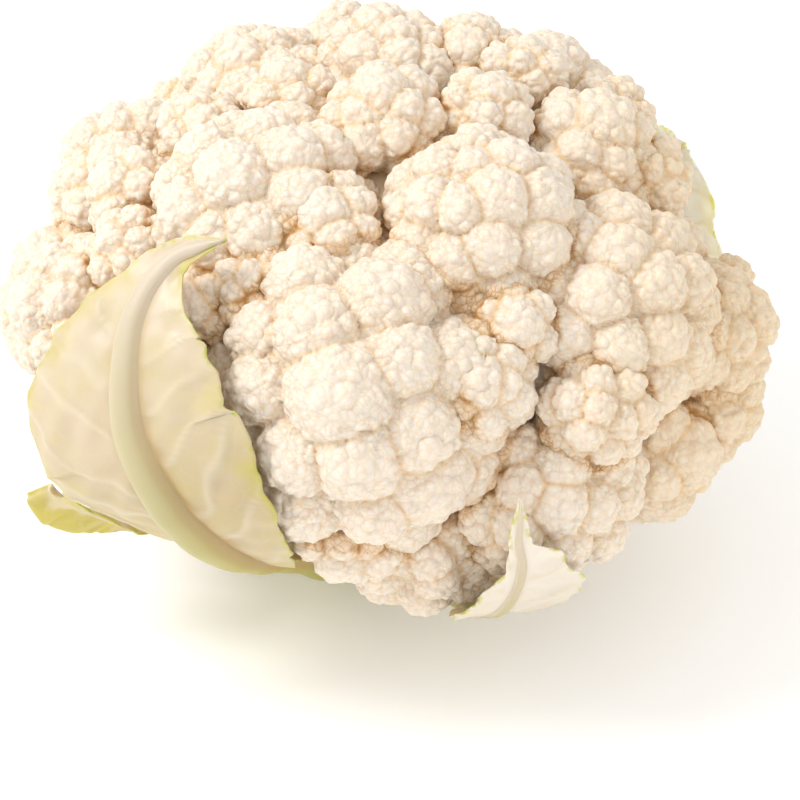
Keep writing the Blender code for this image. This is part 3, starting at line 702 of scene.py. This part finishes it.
def lobe_relief(points, middle, radius, axis, rng):
    """Heights of the lumps on one lobe at its points, how near a crease between lumps each point is, and
    how near the lobe's rim. Lumps are low and close on the lobe's top and bulge more towards its rim."""
    spacing = LUMP_SPACING + LUMP_GROWTH * radius
    ways, sizes = cover(rng, spacing, radius, **LUMP_COVER)
    tops = middle + radius * ways @ turned_to(axis).T
    rises = rng.normal(0, LUMP_RISE, len(sizes)) * sizes
    apart = np.linalg.norm((points + LUMP_WARP * WARP.at(points))[:, None] - tops[None], axis=2)
    roundness = LUMP_ROUNDNESS * sizes
    height = rises + np.sqrt(np.maximum(roundness**2 - apart**2, 0)) - roundness
    height -= np.maximum(0, apart - roundness)
    order = np.argpartition(height, -2, axis=1)[:, -2:]
    two = np.take_along_axis(height, order, axis=1)
    best = order[np.arange(len(points)), two.argmax(axis=1)]
    low, high = np.sort(two, axis=1).T
    rim = np.minimum(1, np.arccos(np.clip(unit(points - middle) @ axis, -1, 1)) / LUMP_COVER["spread"])
    gain = LUMP_GAIN[0] + (LUMP_GAIN[1] - LUMP_GAIN[0]) * rim
    height = np.maximum(high, -LUMP_DEEPEST * sizes[best]) * gain
    return height, np.clip(1 - (high - low) / LUMP_CREASE, 0, 1), rim


def floret_relief(floret, number, directions, places, shown):
    """Relief heights over the floret and the crease values that place its painted shade."""
    rng = np.random.default_rng(SEED * 2000 + number)
    lobe, over = lobe_of(floret, directions)
    height = np.zeros(len(places))
    lump_crease = np.zeros(len(places))
    rim = np.ones(len(places))
    for at in np.unique(lobe[shown]):
        here = np.flatnonzero(lobe == at)
        middle, radius = floret.lobes[at], floret.sizes[at]
        found = lobe_relief(places[here], middle, radius, unit(middle), rng)
        height[here], lump_crease[here], rim[here] = found
    height -= LOBE_SINKING * np.clip(1 - over / LOBE_ROUNDING, 0, 1) ** 2
    lobe_crease = np.clip(1 - over / LOBE_CREASE, 0, 1)
    return height, {"lobe_crease": lobe_crease, "lump_crease": lump_crease, "rim": rim}


def triangle_mesh(name, points, faces, values):
    """A smooth-shaded mesh object of triangles, with these named values at its points."""
    mesh = bpy.data.meshes.new(name)
    mesh.vertices.add(len(points))
    mesh.vertices.foreach_set("co", np.asarray(points, np.float32).ravel())
    mesh.loops.add(3 * len(faces))
    mesh.loops.foreach_set("vertex_index", np.asarray(faces, np.int32).ravel())
    mesh.polygons.add(len(faces))
    mesh.polygons.foreach_set("loop_start", np.arange(0, 3 * len(faces), 3, dtype=np.int32))
    mesh.update(calc_edges=True)
    mesh.validate()
    mesh.shade_smooth()
    for label, value in values.items():
        mesh.attributes.new(label, "FLOAT", "POINT").data.foreach_set("value", np.asarray(value, np.float32))
    made = bpy.data.objects.new(name, mesh)
    bpy.context.scene.collection.objects.link(made)
    return made


def dress(piece, material, node):
    """Gives a piece its material, hides the solid that it stands for, and hangs it on the root body."""
    piece.data.materials.append(material)
    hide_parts(node)
    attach(piece, "root")


def make_floret(name, floret, number, florets, material):
    """One floret as a closed mesh of its own, rooted in the core."""
    reach = [
        other
        for other in florets
        if other is not floret
        and np.linalg.norm(other.centre - floret.centre) < other.radius + floret.radius + FLORET_GAP
    ]
    directions, faces, ends = refined_net(floret, reach)
    places = floret.surface(directions)
    head_places = floret.to_head(places)
    shown = depth_inside(head_places, reach, HIDING_SHARE) < LUMPS_DOWN_TO
    normals = point_normals(places, faces, ends, NORMAL_SMOOTHING)
    height, values = floret_relief(floret, number, directions, places, shown)
    places = places + normals * height[:, None]
    # How near the florets meet, which places the painted shade of the gaps between them
    values["gap"] = np.clip(1 + depth_inside(head_places, reach, GAP_SHARE) / FLORET_GAP, 0, 1)
    piece = triangle_mesh(name, floret.to_head(places), faces, values)
    dress(piece, material, "curd")


def turned(profile, sides, ridges=0.0):
    """Points and triangles of a solid turned about +Z, from (radius, height) pairs, bottom up. Its ridges
    are this share of its radius."""
    angles = 2 * math.pi * np.arange(sides) / sides
    reach = 1 + ridges * np.cos(RIDGE_COUNT * angles)
    circle = np.stack([reach * np.cos(angles), reach * np.sin(angles)], axis=1)
    rings = [np.column_stack([radius * circle, np.full(sides, height)]) for radius, height in profile]
    points = np.concatenate([[(0, 0, profile[0][1])], *rings, [(0, 0, profile[-1][1])]])
    faces = []
    last = len(points) - 1
    for k in range(sides):
        after = (k + 1) % sides
        faces.append((0, 1 + after, 1 + k))
        for low in range(1, last - sides, sides):
            high = low + sides
            faces.append((low + k, low + after, high + after))
            faces.append((low + k, high + after, high + k))
        faces.append((last, last - sides + k, last - sides + after))
    return points, faces


def flared_branch(start, end, thin, thick, waves):
    """Points and faces of a ridged branch that widens into the floret it carries."""
    length = np.linalg.norm(end - start)
    shares = np.arange(BRANCH_RINGS) / (BRANCH_RINGS - 1)
    profile = [(thin + (thick - thin) * share**2, share * length) for share in shares]
    points, faces = turned(profile, BRANCH_SIDES, BRANCH_RIDGES)
    points = points @ turned_to(unit(end - start)).T + start
    return points + BRANCH_WAVE * waves.at(points), faces


def remeshed(piece, size, smoothing):
    """Joins the piece's overlapping solids into one skin of even squares, and smooths it."""
    join = piece.modifiers.new("join", "REMESH")
    join.mode = "VOXEL"
    join.voxel_size = size
    soften = piece.modifiers.new("soften", "SMOOTH")
    soften.factor = 0.5
    soften.iterations = smoothing
    graph = bpy.context.evaluated_depsgraph_get()
    mesh = bpy.data.meshes.new_from_object(piece.evaluated_get(graph))
    piece.modifiers.clear()
    piece.data = mesh
    mesh.shade_smooth()


def joined(parts):
    """Points and faces of several solids as one list."""
    points = []
    faces = []
    for part_points, part_faces in parts:
        base = sum(len(p) for p in points)
        points.append(np.asarray(part_points))
        faces += [tuple(base + i for i in face) for face in part_faces]
    return np.concatenate(points), np.array(faces)


def make_trunk(florets, material):
    """The core that the florets stand out of, with the trunk and the branches to the low ones."""
    core = [
        (STEM_RADIUS - FOOT_CHAMFER, STEM_TOP + TOUCH),
        (STEM_RADIUS, STEM_TOP + FOOT_HEIGHT),
        (CORE_WAIST, BRANCHING_POINT[2]),
    ]
    for step in CORE_STEPS:
        angle = math.radians(step)
        ring = max(HEAD_HALF[1] * CORE_SHARE * math.cos(angle), MM)
        core.append((ring, HEAD_CENTRE[2] + HEAD_HALF[2] * CORE_SHARE * math.sin(angle)))
    parts = [turned(core, CORE_SIDES)]
    waves = Waves(SEED + 5, BRANCH_WAVE_LENGTH)
    for floret in florets:
        if floret.centre[2] < BRANCHES_BELOW:
            reach = BRANCH_SHARE * floret.radius
            parts.append(flared_branch(BRANCHING_POINT, floret.centre, BRANCH_TAPER * reach, reach, waves))
    points, faces = joined(parts)
    trunk = triangle_mesh("trunk", points, faces, {})
    remeshed(trunk, TRUNK_VOXEL, TRUNK_SMOOTHING)
    dress(trunk, material, "curd")


def smooth_path(points, values, step):
    """Points along a Catmull-Rom curve through the given ones, about a step apart, and the values there."""
    ends = np.concatenate([[2 * points[0] - points[1]], points, [2 * points[-1] - points[-2]]])
    fine = []
    for k in range(len(points) - 1):
        before, here, there, after = ends[k : k + 4]
        for t in np.arange(0, 1, 0.05):
            place = here + 0.5 * t * (there - before)
            place = place + 0.5 * t**2 * (2 * before - 5 * here + 4 * there - after)
            place = place + 0.5 * t**3 * (3 * here - before - 3 * there + after)
            blend = t * t * (3 - 2 * t)
            fine.append([*place, *(values[k] * (1 - blend) + values[k + 1] * blend)])
    fine = np.array([*fine, [*points[-1], *values[-1]]])
    length = np.concatenate([[0], np.cumsum(np.linalg.norm(np.diff(fine[:, :3], axis=0), axis=1))])
    places = np.linspace(0, length[-1], max(4, round(length[-1] / step)))
    found = np.stack([np.interp(places, length, column) for column in fine.T], axis=1)
    return found[:, :3], found[:, 3:]


def blurred(grid):
    """The grid, each place moved halfway to the mean of its four neighbours."""
    wide = np.pad(grid, 1, mode="edge")
    return 0.5 * grid + 0.125 * sum([wide[:-2, 1:-1], wide[2:, 1:-1], wide[1:-1, :-2], wide[1:-1, 2:]])


def vein_distance(down, across, waves):
    """How far each place on the blade lies from the nearest side vein, in metres. Veins leave the rib
    every so often and run forward towards the tip."""
    bent = down + VEIN_LEAN * np.abs(across) + VEIN_BEND * across**2
    flat = np.stack([down, across, np.zeros_like(down)], axis=-1).reshape(-1, 3)
    bent = bent + VEIN_WAVE * waves.at(flat)[:, 0].reshape(down.shape)
    turns = bent / VEIN_SPACING + np.where(across > 0, 0.5, 0)
    return np.abs(turns - np.round(turns)) * VEIN_SPACING


def leaf_widths(leaf, values, down, ribs, narrowed, number):
    """How far each column lies to the left of the rib's middle line, row by row, with ragged margins."""
    waves = Waves(SEED * 3 + number, EDGE_WAVE_LENGTH)
    teeth = Waves(SEED * 5 + number, EDGE_TOOTH_LENGTH)
    shares = np.linspace(1, 0, BLADE_COLUMNS, endpoint=False)
    columns = []
    for margin, sign in ((1, 1), (2, -1)):
        width = values[:, margin]
        spots = np.stack([down, np.full_like(down, sign * MARGINS_APART), np.zeros_like(down)], axis=1)
        ragged = waves.at(spots)[:, 0] + TEETH_SHARE * teeth.at(spots)[:, 1]
        width = width + leaf["tooth"] * ragged * np.minimum(1, width / FULL_WIDTH)
        blade = np.maximum(width * MM - ribs, SKIRT * narrowed)
        columns.append(sign * (ribs[:, None] + blade[:, None] * shares[::sign]))
    columns.insert(1, ribs[:, None] * np.linspace(1, -1, RIB_COLUMNS))
    return np.concatenate(columns, axis=1)


def laid_blade(leaf, ways, widths, values, down, obstacles):
    """How far from the head's middle the blade's inner face lies: waved, clear of the head and smooth."""
    form = 1 / np.linalg.norm(ways / HEAD_HALF, axis=2)
    edge = np.abs(widths) / np.maximum(np.abs(widths).max(axis=1), 3 * SKIRT)[:, None]
    reached = np.minimum(1, np.abs(widths) / (FULL_WIDTH * MM))
    flare = np.where(widths > 0, *leaf["flare"]) * MM * reached
    swing = np.sin(down / leaf["wave_length"] / MM * 2 * math.pi)
    share = np.minimum(1, values[:, 1:].max(axis=1) / FULL_WIDTH)
    wave = leaf["wave"] * MM * share * (0.5 + 0.5 * swing)
    wanted = values[:, :1] * form + (wave[:, None] + flare) * edge**2
    hits = farthest_hits(ways.reshape(-1, 3), *obstacles, -LEAF_CLEARANCE)
    least = hits.reshape(widths.shape) + LEAF_CLEARANCE
    inner = np.maximum(wanted, least)
    for _ in range(LEAF_SMOOTHING):
        inner = np.maximum(blurred(inner), least)
    for _ in range(FREE_SMOOTHING):
        inner = blurred(inner)
    return inner


def leaf_grids(leaf, obstacles, number):
    """Inner and outer points of a leaf laid round the head, rows from tip to stalk, columns left to right,
    and the values that colour it."""
    rows = np.array(leaf["rows"], float)
    ways = [direction(math.radians(row[0]), math.radians(row[1])) for row in rows]
    outs = [way * row[2] / np.linalg.norm(way / HEAD_HALF) for way, row in zip(ways, rows)]
    path, values = smooth_path(np.array(outs), rows[:, 2:5], LEAF_STEP)
    out = unit(path)
    side = unit(np.cross(unit(np.gradient(path, axis=0)), out))
    along = np.linspace(0, 1, len(path))
    down = np.arange(len(path)) * LEAF_STEP
    narrowed = np.minimum(1, TIP_SHARE + down / TIP_LENGTH)
    ribs = leaf["rib"] * MM * (RIB_AT_TIP + (1 - RIB_AT_TIP) * np.minimum(1, along / RIB_FULL_AT))
    ribs = ribs * narrowed
    heights = RIB_FULLER * leaf["rib_height"] * MM * (RIB_HEIGHT_AT_TIP + (1 - RIB_HEIGHT_AT_TIP) * along)
    widths = leaf_widths(leaf, values, down, ribs, narrowed, number)
    shape = widths.shape
    turn = widths / np.linalg.norm(path, axis=1)[:, None]
    ways = unit(out[:, None] * np.cos(turn)[..., None] + side[:, None] * np.sin(turn)[..., None])
    inner = laid_blade(leaf, ways, widths, values, down, obstacles)

    widest = np.where(widths > 0, widths.max(axis=1)[:, None], -widths.min(axis=1)[:, None])
    to_margin = widest - np.abs(widths)
    inland = np.clip(to_margin / MARGIN_WIDTH, 0, 1)
    off_rib = np.clip((np.abs(widths) - ribs[:, None]) / VEIN_START, 0, 1)
    across = widths / ribs[:, None]
    down_grid = np.broadcast_to(down[:, None], shape)
    to_vein = vein_distance(down_grid, widths, Waves(SEED * 7 + number, VEIN_WAVE_LENGTH))
    vein_share = VEIN_AT_MARGIN + (1 - VEIN_AT_MARGIN) * inland
    vein = np.exp(-((to_vein / VEIN_WIDTH) ** 2)) * off_rib * vein_share
    bulge = np.sqrt(np.maximum(0, 1 - across**2)) * heights[:, None]
    crumples = Waves(SEED * 11 + number, CRUMPLE_LENGTH).at((ways * inner[..., None]).reshape(-1, 3))
    inner = inner + CRUMPLE * (0.5 + 0.5 * crumples[:, 0].reshape(shape)) * off_rib
    thickness = leaf["thickness"] * MM * (MARGIN_THICKNESS + (1 - MARGIN_THICKNESS) * inland)
    outer = inner + thickness + bulge + VEIN_HEIGHT * vein

    shade = np.exp(-(((across + RIB_SHADE_AT) / RIB_SHADE_WIDTH) ** 2))
    shade = shade * np.clip(along * RIB_SHADE_GROWTH, 0, 1)[:, None]
    colours = {
        "vein": vein,
        "rib": np.clip(RIB_COLOUR_REACH - np.abs(across), 0, 1) ** 0.5,
        "green": np.clip(leaf["green"] + (1 - inland) * leaf["green_margin"], 0, 2),
        "margin": np.clip(1 - to_margin / MARGIN_LINE, 0, 1),
        "stalk": np.broadcast_to(along[:, None], shape),
        "shade": shade * leaf["shade"],
        "across": np.clip(across, -1, 1),
        "pale": np.full(shape, leaf["pale"]),
    }
    return HEAD_CENTRE + ways * inner[..., None], HEAD_CENTRE + ways * outer[..., None], colours


def leaf_mesh(inner, outer):
    """A closed sheet between two grids, both split into triangles the same way."""
    count = inner.shape[0] * inner.shape[1]
    points = np.concatenate([inner.reshape(-1, 3), outer.reshape(-1, 3)])
    index = np.arange(count).reshape(inner.shape[:2])
    corners = (index[:-1, :-1], index[:-1, 1:], index[1:, :-1], index[1:, 1:])
    a, b, c, d = (corner.ravel() for corner in corners)
    inside = np.concatenate([np.stack([a, b, d], axis=1), np.stack([a, d, c], axis=1)])
    outside = inside[:, ::-1] + count
    ring = np.concatenate([index[0], index[1:, -1], index[-1, -2::-1], index[-2:0:-1, 0]])
    after = np.roll(ring, -1)
    rim = [np.stack(t, axis=1) for t in ((after, ring, count + ring), (after, count + ring, count + after))]
    return points, np.concatenate([inside, outside, *rim])


def facing_out(points, faces):
    """The faces, all turned over if they don't enclose a positive volume."""
    corners = points[faces] - points.mean(axis=0)
    volume = np.einsum("ij,ij->", corners[:, 0], np.cross(corners[:, 1], corners[:, 2]))
    return faces if volume > 0 else faces[:, ::-1]


def make_leaves(florets):
    """Every leaf, each clear of the head and of the leaves under it."""
    centres = np.concatenate([floret.to_head(floret.lobes) - HEAD_CENTRE for floret in florets])
    radii = np.concatenate([floret.sizes for floret in florets])
    for number, (name, leaf) in enumerate(LEAVES.items()):
        inner, outer, colours = leaf_grids(leaf, (centres, radii), number)
        points, faces = leaf_mesh(inner, outer)
        values = {label: np.tile(value.ravel(), 2) for label, value in colours.items()}
        piece = triangle_mesh(name + "_blade", points, facing_out(points, faces), values)
        dress(piece, leaf_material(name, *leaf["scatter"]), name)
        some = inner[::LEAF_THINNING, ::LEAF_THINNING].reshape(-1, 3) - HEAD_CENTRE
        centres = np.concatenate([centres, some])
        radii = np.concatenate([radii, np.full(len(some), LEAF_BALL)])


def make_stem(material):
    """The cut stem with the stubs of the stalks that were cut away round it, grown into one skin."""
    side = [(STEM_RADIUS, height) for height in np.arange(STEM_CHAMFER, STEM_TOP, STEM_STEP)]
    narrow = STEM_RADIUS - STEM_CHAMFER
    parts = [turned([(narrow, 0), *side, (narrow, STEM_TOP)], STEM_SIDES)]
    waves = Waves(SEED + 8, STUB_WAVE_LENGTH)
    for azimuth in STUB_TURNS:
        way = direction(math.radians(azimuth), 0)
        start = way * STEM_RADIUS * STUB_ROOT_SHARE + np.array([0, 0, STUB_ROOT_HEIGHT])
        end = way * (STEM_RADIUS + STUB_LENGTH) + np.array([0, 0, STUB_END_HEIGHT])
        parts.append(flared_branch(start, end, STUB_RADIUS, STUB_RADIUS, waves))
    points, faces = joined(parts)
    stem = triangle_mesh("stem_skin", points, faces, {})
    remeshed(stem, STEM_VOXEL, STEM_SMOOTHING)
    dress(stem, material, "stem")


class Shader:
    """A material's node tree, built one node at a time. Each call returns the new node's output."""

    def __init__(self, name):
        self.material = bpy.data.materials.new(name)
        self.material.use_nodes = True
        self.tree = self.material.node_tree
        self.principled = self.tree.nodes["Principled BSDF"]

    def add(self, kind, output=0, settings=None, **inputs):
        """A node with these settings and inputs, named as the node names them or in0, in1 and so on."""
        node = self.tree.nodes.new(kind)
        for key, value in (settings or {}).items():
            setattr(node, key, value)
        for key, value in inputs.items():
            self.feed(node.inputs[int(key[2:]) if key.startswith("in") else key], value)
        return node.outputs[output]

    def feed(self, socket, value):
        if isinstance(value, bpy.types.NodeSocket):
            self.tree.links.new(value, socket)
        else:
            socket.default_value = value

    def value_of(self, name):
        """A value stored at the mesh's points."""
        return self.add("ShaderNodeAttribute", 2, {"attribute_name": name})

    def place(self):
        return self.add("ShaderNodeTexCoord", "Object")

    def noise(self, size, detail=3, output=0):
        """Noise from 0 to 1 whose blotches are about this many metres across."""
        return self.add("ShaderNodeTexNoise", output, Vector=self.place(), Scale=1 / size, Detail=detail)

    def vector(self, kind, **inputs):
        return self.add("ShaderNodeVectorMath", 0, {"operation": kind}, **inputs)

    def stirred(self, size, reach):
        """Places shifted at random by up to half the reach each way, in blotches of this size."""
        shift = self.vector("SUBTRACT", in0=self.noise(size, 0, 1), in1=(0.5, 0.5, 0.5))
        return self.vector("ADD", in0=self.place(), in1=self.vector("SCALE", in0=shift, Scale=reach))

    def cells(self, place, size, feature):
        """Cells of this size round scattered points: the distance to the point (F1) or to the edge."""
        return self.add("ShaderNodeTexVoronoi", 0, {"feature": feature}, Vector=place, Scale=1 / size)

    def math(self, kind, first, second=0.0, clamp=False):
        return self.add("ShaderNodeMath", 0, {"operation": kind, "use_clamp": clamp}, in0=first, in1=second)

    def times(self, first, second, clamp=False):
        return self.math("MULTIPLY", first, second, clamp)

    def spread(self, value, low, high, new_low=0.0, new_high=1.0):
        """The value's range from low to high moved to the new one, and held inside it."""
        ends = {"in1": low, "in2": high, "in3": new_low, "in4": new_high}
        return self.add("ShaderNodeMapRange", 0, {"clamp": True}, in0=value, **ends)

    def mix(self, share, first, second):
        """A colour between two colours."""
        first, second = ((*c, 1) if isinstance(c, tuple) else c for c in (first, second))
        return self.add("ShaderNodeMix", 2, {"data_type": "RGBA"}, in0=share, in6=first, in7=second)

    def bump(self, height, distance, strength, **normal):
        return self.add("ShaderNodeBump", 0, Height=height, Distance=distance, Strength=strength, **normal)

    def grain(self, size, depth, strength, detail=3, **normal):
        """Fine bumps of this size and depth all over the skin."""
        return self.bump(self.noise(size, detail), depth, strength, **normal)

    def finish(self, colour, scatter=(0, (1, 1, 1), 0), **settings):
        """Feeds the shader. Scatter is the share of the light that goes through the skin, how far each
        colour of it goes, and the scale of that in metres."""
        for part, value in zip(("Weight", "Radius", "Scale"), scatter):
            settings["Subsurface_" + part] = value
        for name, value in {"Base_Color": colour, **settings}.items():
            self.feed(self.principled.inputs[name.replace("_", " ")], value)
        return self.material


def curd_material():
    """Creamy white, tan to the right (partly its own tone, partly painted shade of the side away from the
    key light), with painted warm shade in its creases and in the gaps between florets, small round buds and
    fine grain.
    """
    skin = Shader("curd")
    tint = skin.noise(TINT_BLOTCH, 1)
    body = skin.mix(skin.spread(tint, *NOISE_RANGE), CURD_PALE, CURD_CREAM)
    # Tan towards the right: partly the curd's own tone, partly painted shade of the side away from the key
    # light
    rightward = skin.add("ShaderNodeSeparateXYZ", 0, Vector=skin.place())
    wavy = skin.math("ADD", rightward, skin.times(tint, TAN_AND_SHADE_WANDER))
    body = skin.mix(skin.spread(wavy, *TAN_AND_SHADE_PLACES, 0.0, TAN_AND_SHADE_SHARE), body, CURD_TAN_AND_SHADE)
    stirred = skin.stirred(BUD_STIR_SIZE, BUD_STIRRED)
    buds = skin.cells(stirred, BUD_SIZE, "F1")
    to_edge = skin.cells(stirred, BUD_SIZE, "DISTANCE_TO_EDGE")
    strength = skin.spread(skin.value_of("rim"), *BUD_RIM, *BUD_HEIGHTS)
    # Painted warm shade in the creases between buds, lumps and lobes and in the gaps between florets,
    # darkest deep in the gaps
    bud = skin.times(skin.spread(to_edge, 0.0, BUD_CREASE, BUD_SHADE, 0.0), strength)
    lump = skin.times(skin.math("POWER", skin.value_of("lump_crease"), CREASE_POWER), LUMP_SHADE)
    lobe = skin.times(skin.math("POWER", skin.value_of("lobe_crease"), CREASE_POWER), LOBE_SHADE)
    crease = skin.math("MAXIMUM", skin.math("MAXIMUM", lump, lobe), bud)
    gap = skin.math("POWER", skin.value_of("gap"), 2.0)
    shade = skin.math("ADD", crease, skin.times(gap, GAP_SHADE), clamp=True)
    colour = skin.mix(shade, body, CURD_CREASE_SHADE)
    colour = skin.mix(skin.math("POWER", skin.times(shade, gap), CREASE_POWER), colour, CURD_DEEP_SHADE)
    dome = skin.times(skin.times(buds, buds), skin.times(strength, -1.0))
    normal = skin.grain(*CURD_GRAIN, 0, Normal=skin.bump(dome, BUD_SIZE, BUD_BUMP))
    rough = skin.spread(buds, 0.0, 0.8, *CURD_ROUGH)
    return skin.finish(colour, CURD_SCATTER, Roughness=rough, Normal=normal, Specular_IOR_Level=0.35)


def trunk_material():
    """Warm cream among the florets, pale green lower down."""
    skin = Shader("trunk")
    height = skin.add("ShaderNodeSeparateXYZ", 2, Vector=skin.place())
    wavy = skin.math("ADD", height, skin.times(skin.noise(9 * MM), TRUNK_WANDER))
    colour = skin.mix(skin.spread(wavy, *TRUNK_GREENS, 1, 0), TRUNK_WARM, TRUNK_GREEN)
    return skin.finish(colour, TRUNK_SCATTER, Roughness=0.5, Normal=skin.grain(*TRUNK_GRAIN))


def leaf_material(name, share, reach):
    """A pale waxy blade with whitish veins, yellow green in patches and at its margins, and a pale rib.
    This share of the light goes through it, and this far in mm."""
    skin = Shader(name)
    patch = skin.spread(skin.noise(PATCH_SIZE), *PATCH_RANGE)
    base = skin.mix(skin.spread(skin.noise(LEAF_BLOTCH), *NOISE_RANGE), LEAF_CREAM, LEAF_BEIGE)
    base = skin.mix(skin.spread(skin.value_of("stalk"), *TIP_FADES), LEAF_TOP, base)
    blade = skin.mix(skin.value_of("pale"), base, LEAF_PALE)
    tinted = skin.math("ADD", skin.times(patch, PATCH_GREEN), GREEN_BETWEEN)
    colour = skin.mix(skin.times(skin.value_of("green"), tinted, clamp=True), blade, LEAF_GREEN)
    net = skin.cells(skin.stirred(2 * NET_SIZE, NET_STIRRED), NET_SIZE, "DISTANCE_TO_EDGE")
    net_line = skin.spread(net, 0.0, NET_LINE, NET_TINT, 0.0)
    lines = skin.math("MAXIMUM", skin.times(skin.value_of("vein"), VEIN_TINT), net_line)
    colour = skin.mix(lines, colour, LEAF_VEIN)
    rib = skin.mix(skin.spread(skin.value_of("stalk"), *RIB_TIP_FADES), LEAF_RIB_TIP, LEAF_RIB)
    lit = skin.spread(skin.value_of("across"), *RIB_LIT_SIDE, 0.0, RIB_LIT)
    rib = skin.mix(lit, rib, LEAF_VEIN)
    colour = skin.mix(skin.spread(skin.value_of("rib"), *RIB_EDGE), colour, rib)
    colour = skin.mix(skin.value_of("shade"), colour, LEAF_SHADE)
    dots = skin.times(skin.spread(skin.noise(DOT_SIZE, 1), *DOT_RANGE), skin.value_of("margin"))
    colour = skin.mix(skin.times(dots, DOT_TINT), colour, LEAF_MARGIN)
    rough = skin.spread(patch, 0.0, 1.0, *LEAF_ROUGH)
    scatter = (share, LEAF_THROUGH, reach * MM)
    return skin.finish(colour, scatter, Roughness=rough, Normal=skin.grain(*LEAF_GRAIN))


def stem_material():
    """Pale green skin in soft blotches, with a fine grain."""
    skin = Shader("stem")
    colour = skin.mix(skin.spread(skin.noise(6 * MM), *NOISE_RANGE), STEM_SKIN, STEM_PALE)
    return skin.finish(colour, STEM_SCATTER, Roughness=0.5, Normal=skin.grain(*STEM_GRAIN))


def floor_material():
    """Matt and pale, with a faint light of its own."""
    glow = {"Emission_Color": GLOW_COLOUR, "Emission_Strength": FLOOR_GLOW}
    return Shader("floor").finish(FLOOR_COLOUR, Roughness=0.7, Specular_IOR_Level=0.2, **glow)


def aimed(thing, place, target):
    """Puts a lamp or camera at a place, looking at the target."""
    thing.location = place
    thing.rotation_mode = "QUATERNION"
    thing.rotation_quaternion = (Vector(target) - Vector(place)).to_track_quat("-Z", "Y")
    bpy.context.scene.collection.objects.link(thing)


def make_camera():
    """The camera at the usual view, looking down on the head."""
    data = bpy.data.cameras.new("camera")
    data.sensor_width = SENSOR
    data.lens = SENSOR * CAMERA_DISTANCE / VIEW_WIDTH
    data.clip_start = 0.01
    camera = bpy.data.objects.new("camera", data)
    back = Vector((0, -math.cos(CAMERA_ELEVATION), math.sin(CAMERA_ELEVATION)))
    aimed(camera, Vector(CAMERA_TARGET) + back * CAMERA_DISTANCE, CAMERA_TARGET)
    bpy.context.scene.camera = camera


def make_light(name, place, size, power, colour):
    """A soft round lamp aimed at the head."""
    data = bpy.data.lights.new(name, "AREA")
    data.shape = "DISK"
    data.size = size
    data.energy = power
    data.color = colour
    aimed(bpy.data.objects.new(name, data), place, HEAD_CENTRE)


def make_studio():
    """A pale floor, a white sky and soft lights, and the way the picture is developed."""
    scene = bpy.context.scene
    corners = [(-1, -1, 0), (1, -1, 0), (1, 1, 0), (-1, 1, 0)]
    floor = triangle_mesh("floor", np.array(corners) * FLOOR_HALF, [(0, 1, 2), (0, 2, 3)], {})
    floor.data.materials.append(floor_material())
    world = bpy.data.worlds.new("studio")
    scene.world = world
    world.use_nodes = True
    sky = world.node_tree.nodes["Background"].inputs
    sky["Color"].default_value = SKY_COLOUR
    sky["Strength"].default_value = SKY_STRENGTH
    for name, light in LIGHTS.items():
        make_light(name, *light)
    scene.view_settings.view_transform = "Standard"
    scene.cycles.use_denoising = True


def main():
    """Makes the head, its leaves and stem, and then the studio."""
    florets = [Floret(place, number) for number, place in enumerate(floret_places())]
    names = list(FLORETS)
    curd = curd_material()
    for number, floret in enumerate(florets):
        name = names[number] if number < len(names) else f"further_{number - len(names) + 1}"
        make_floret("floret_" + name, floret, number, florets, curd)
    make_trunk(florets, trunk_material())
    make_leaves(florets)
    make_stem(stem_material())
    make_camera()
    make_studio()


main()
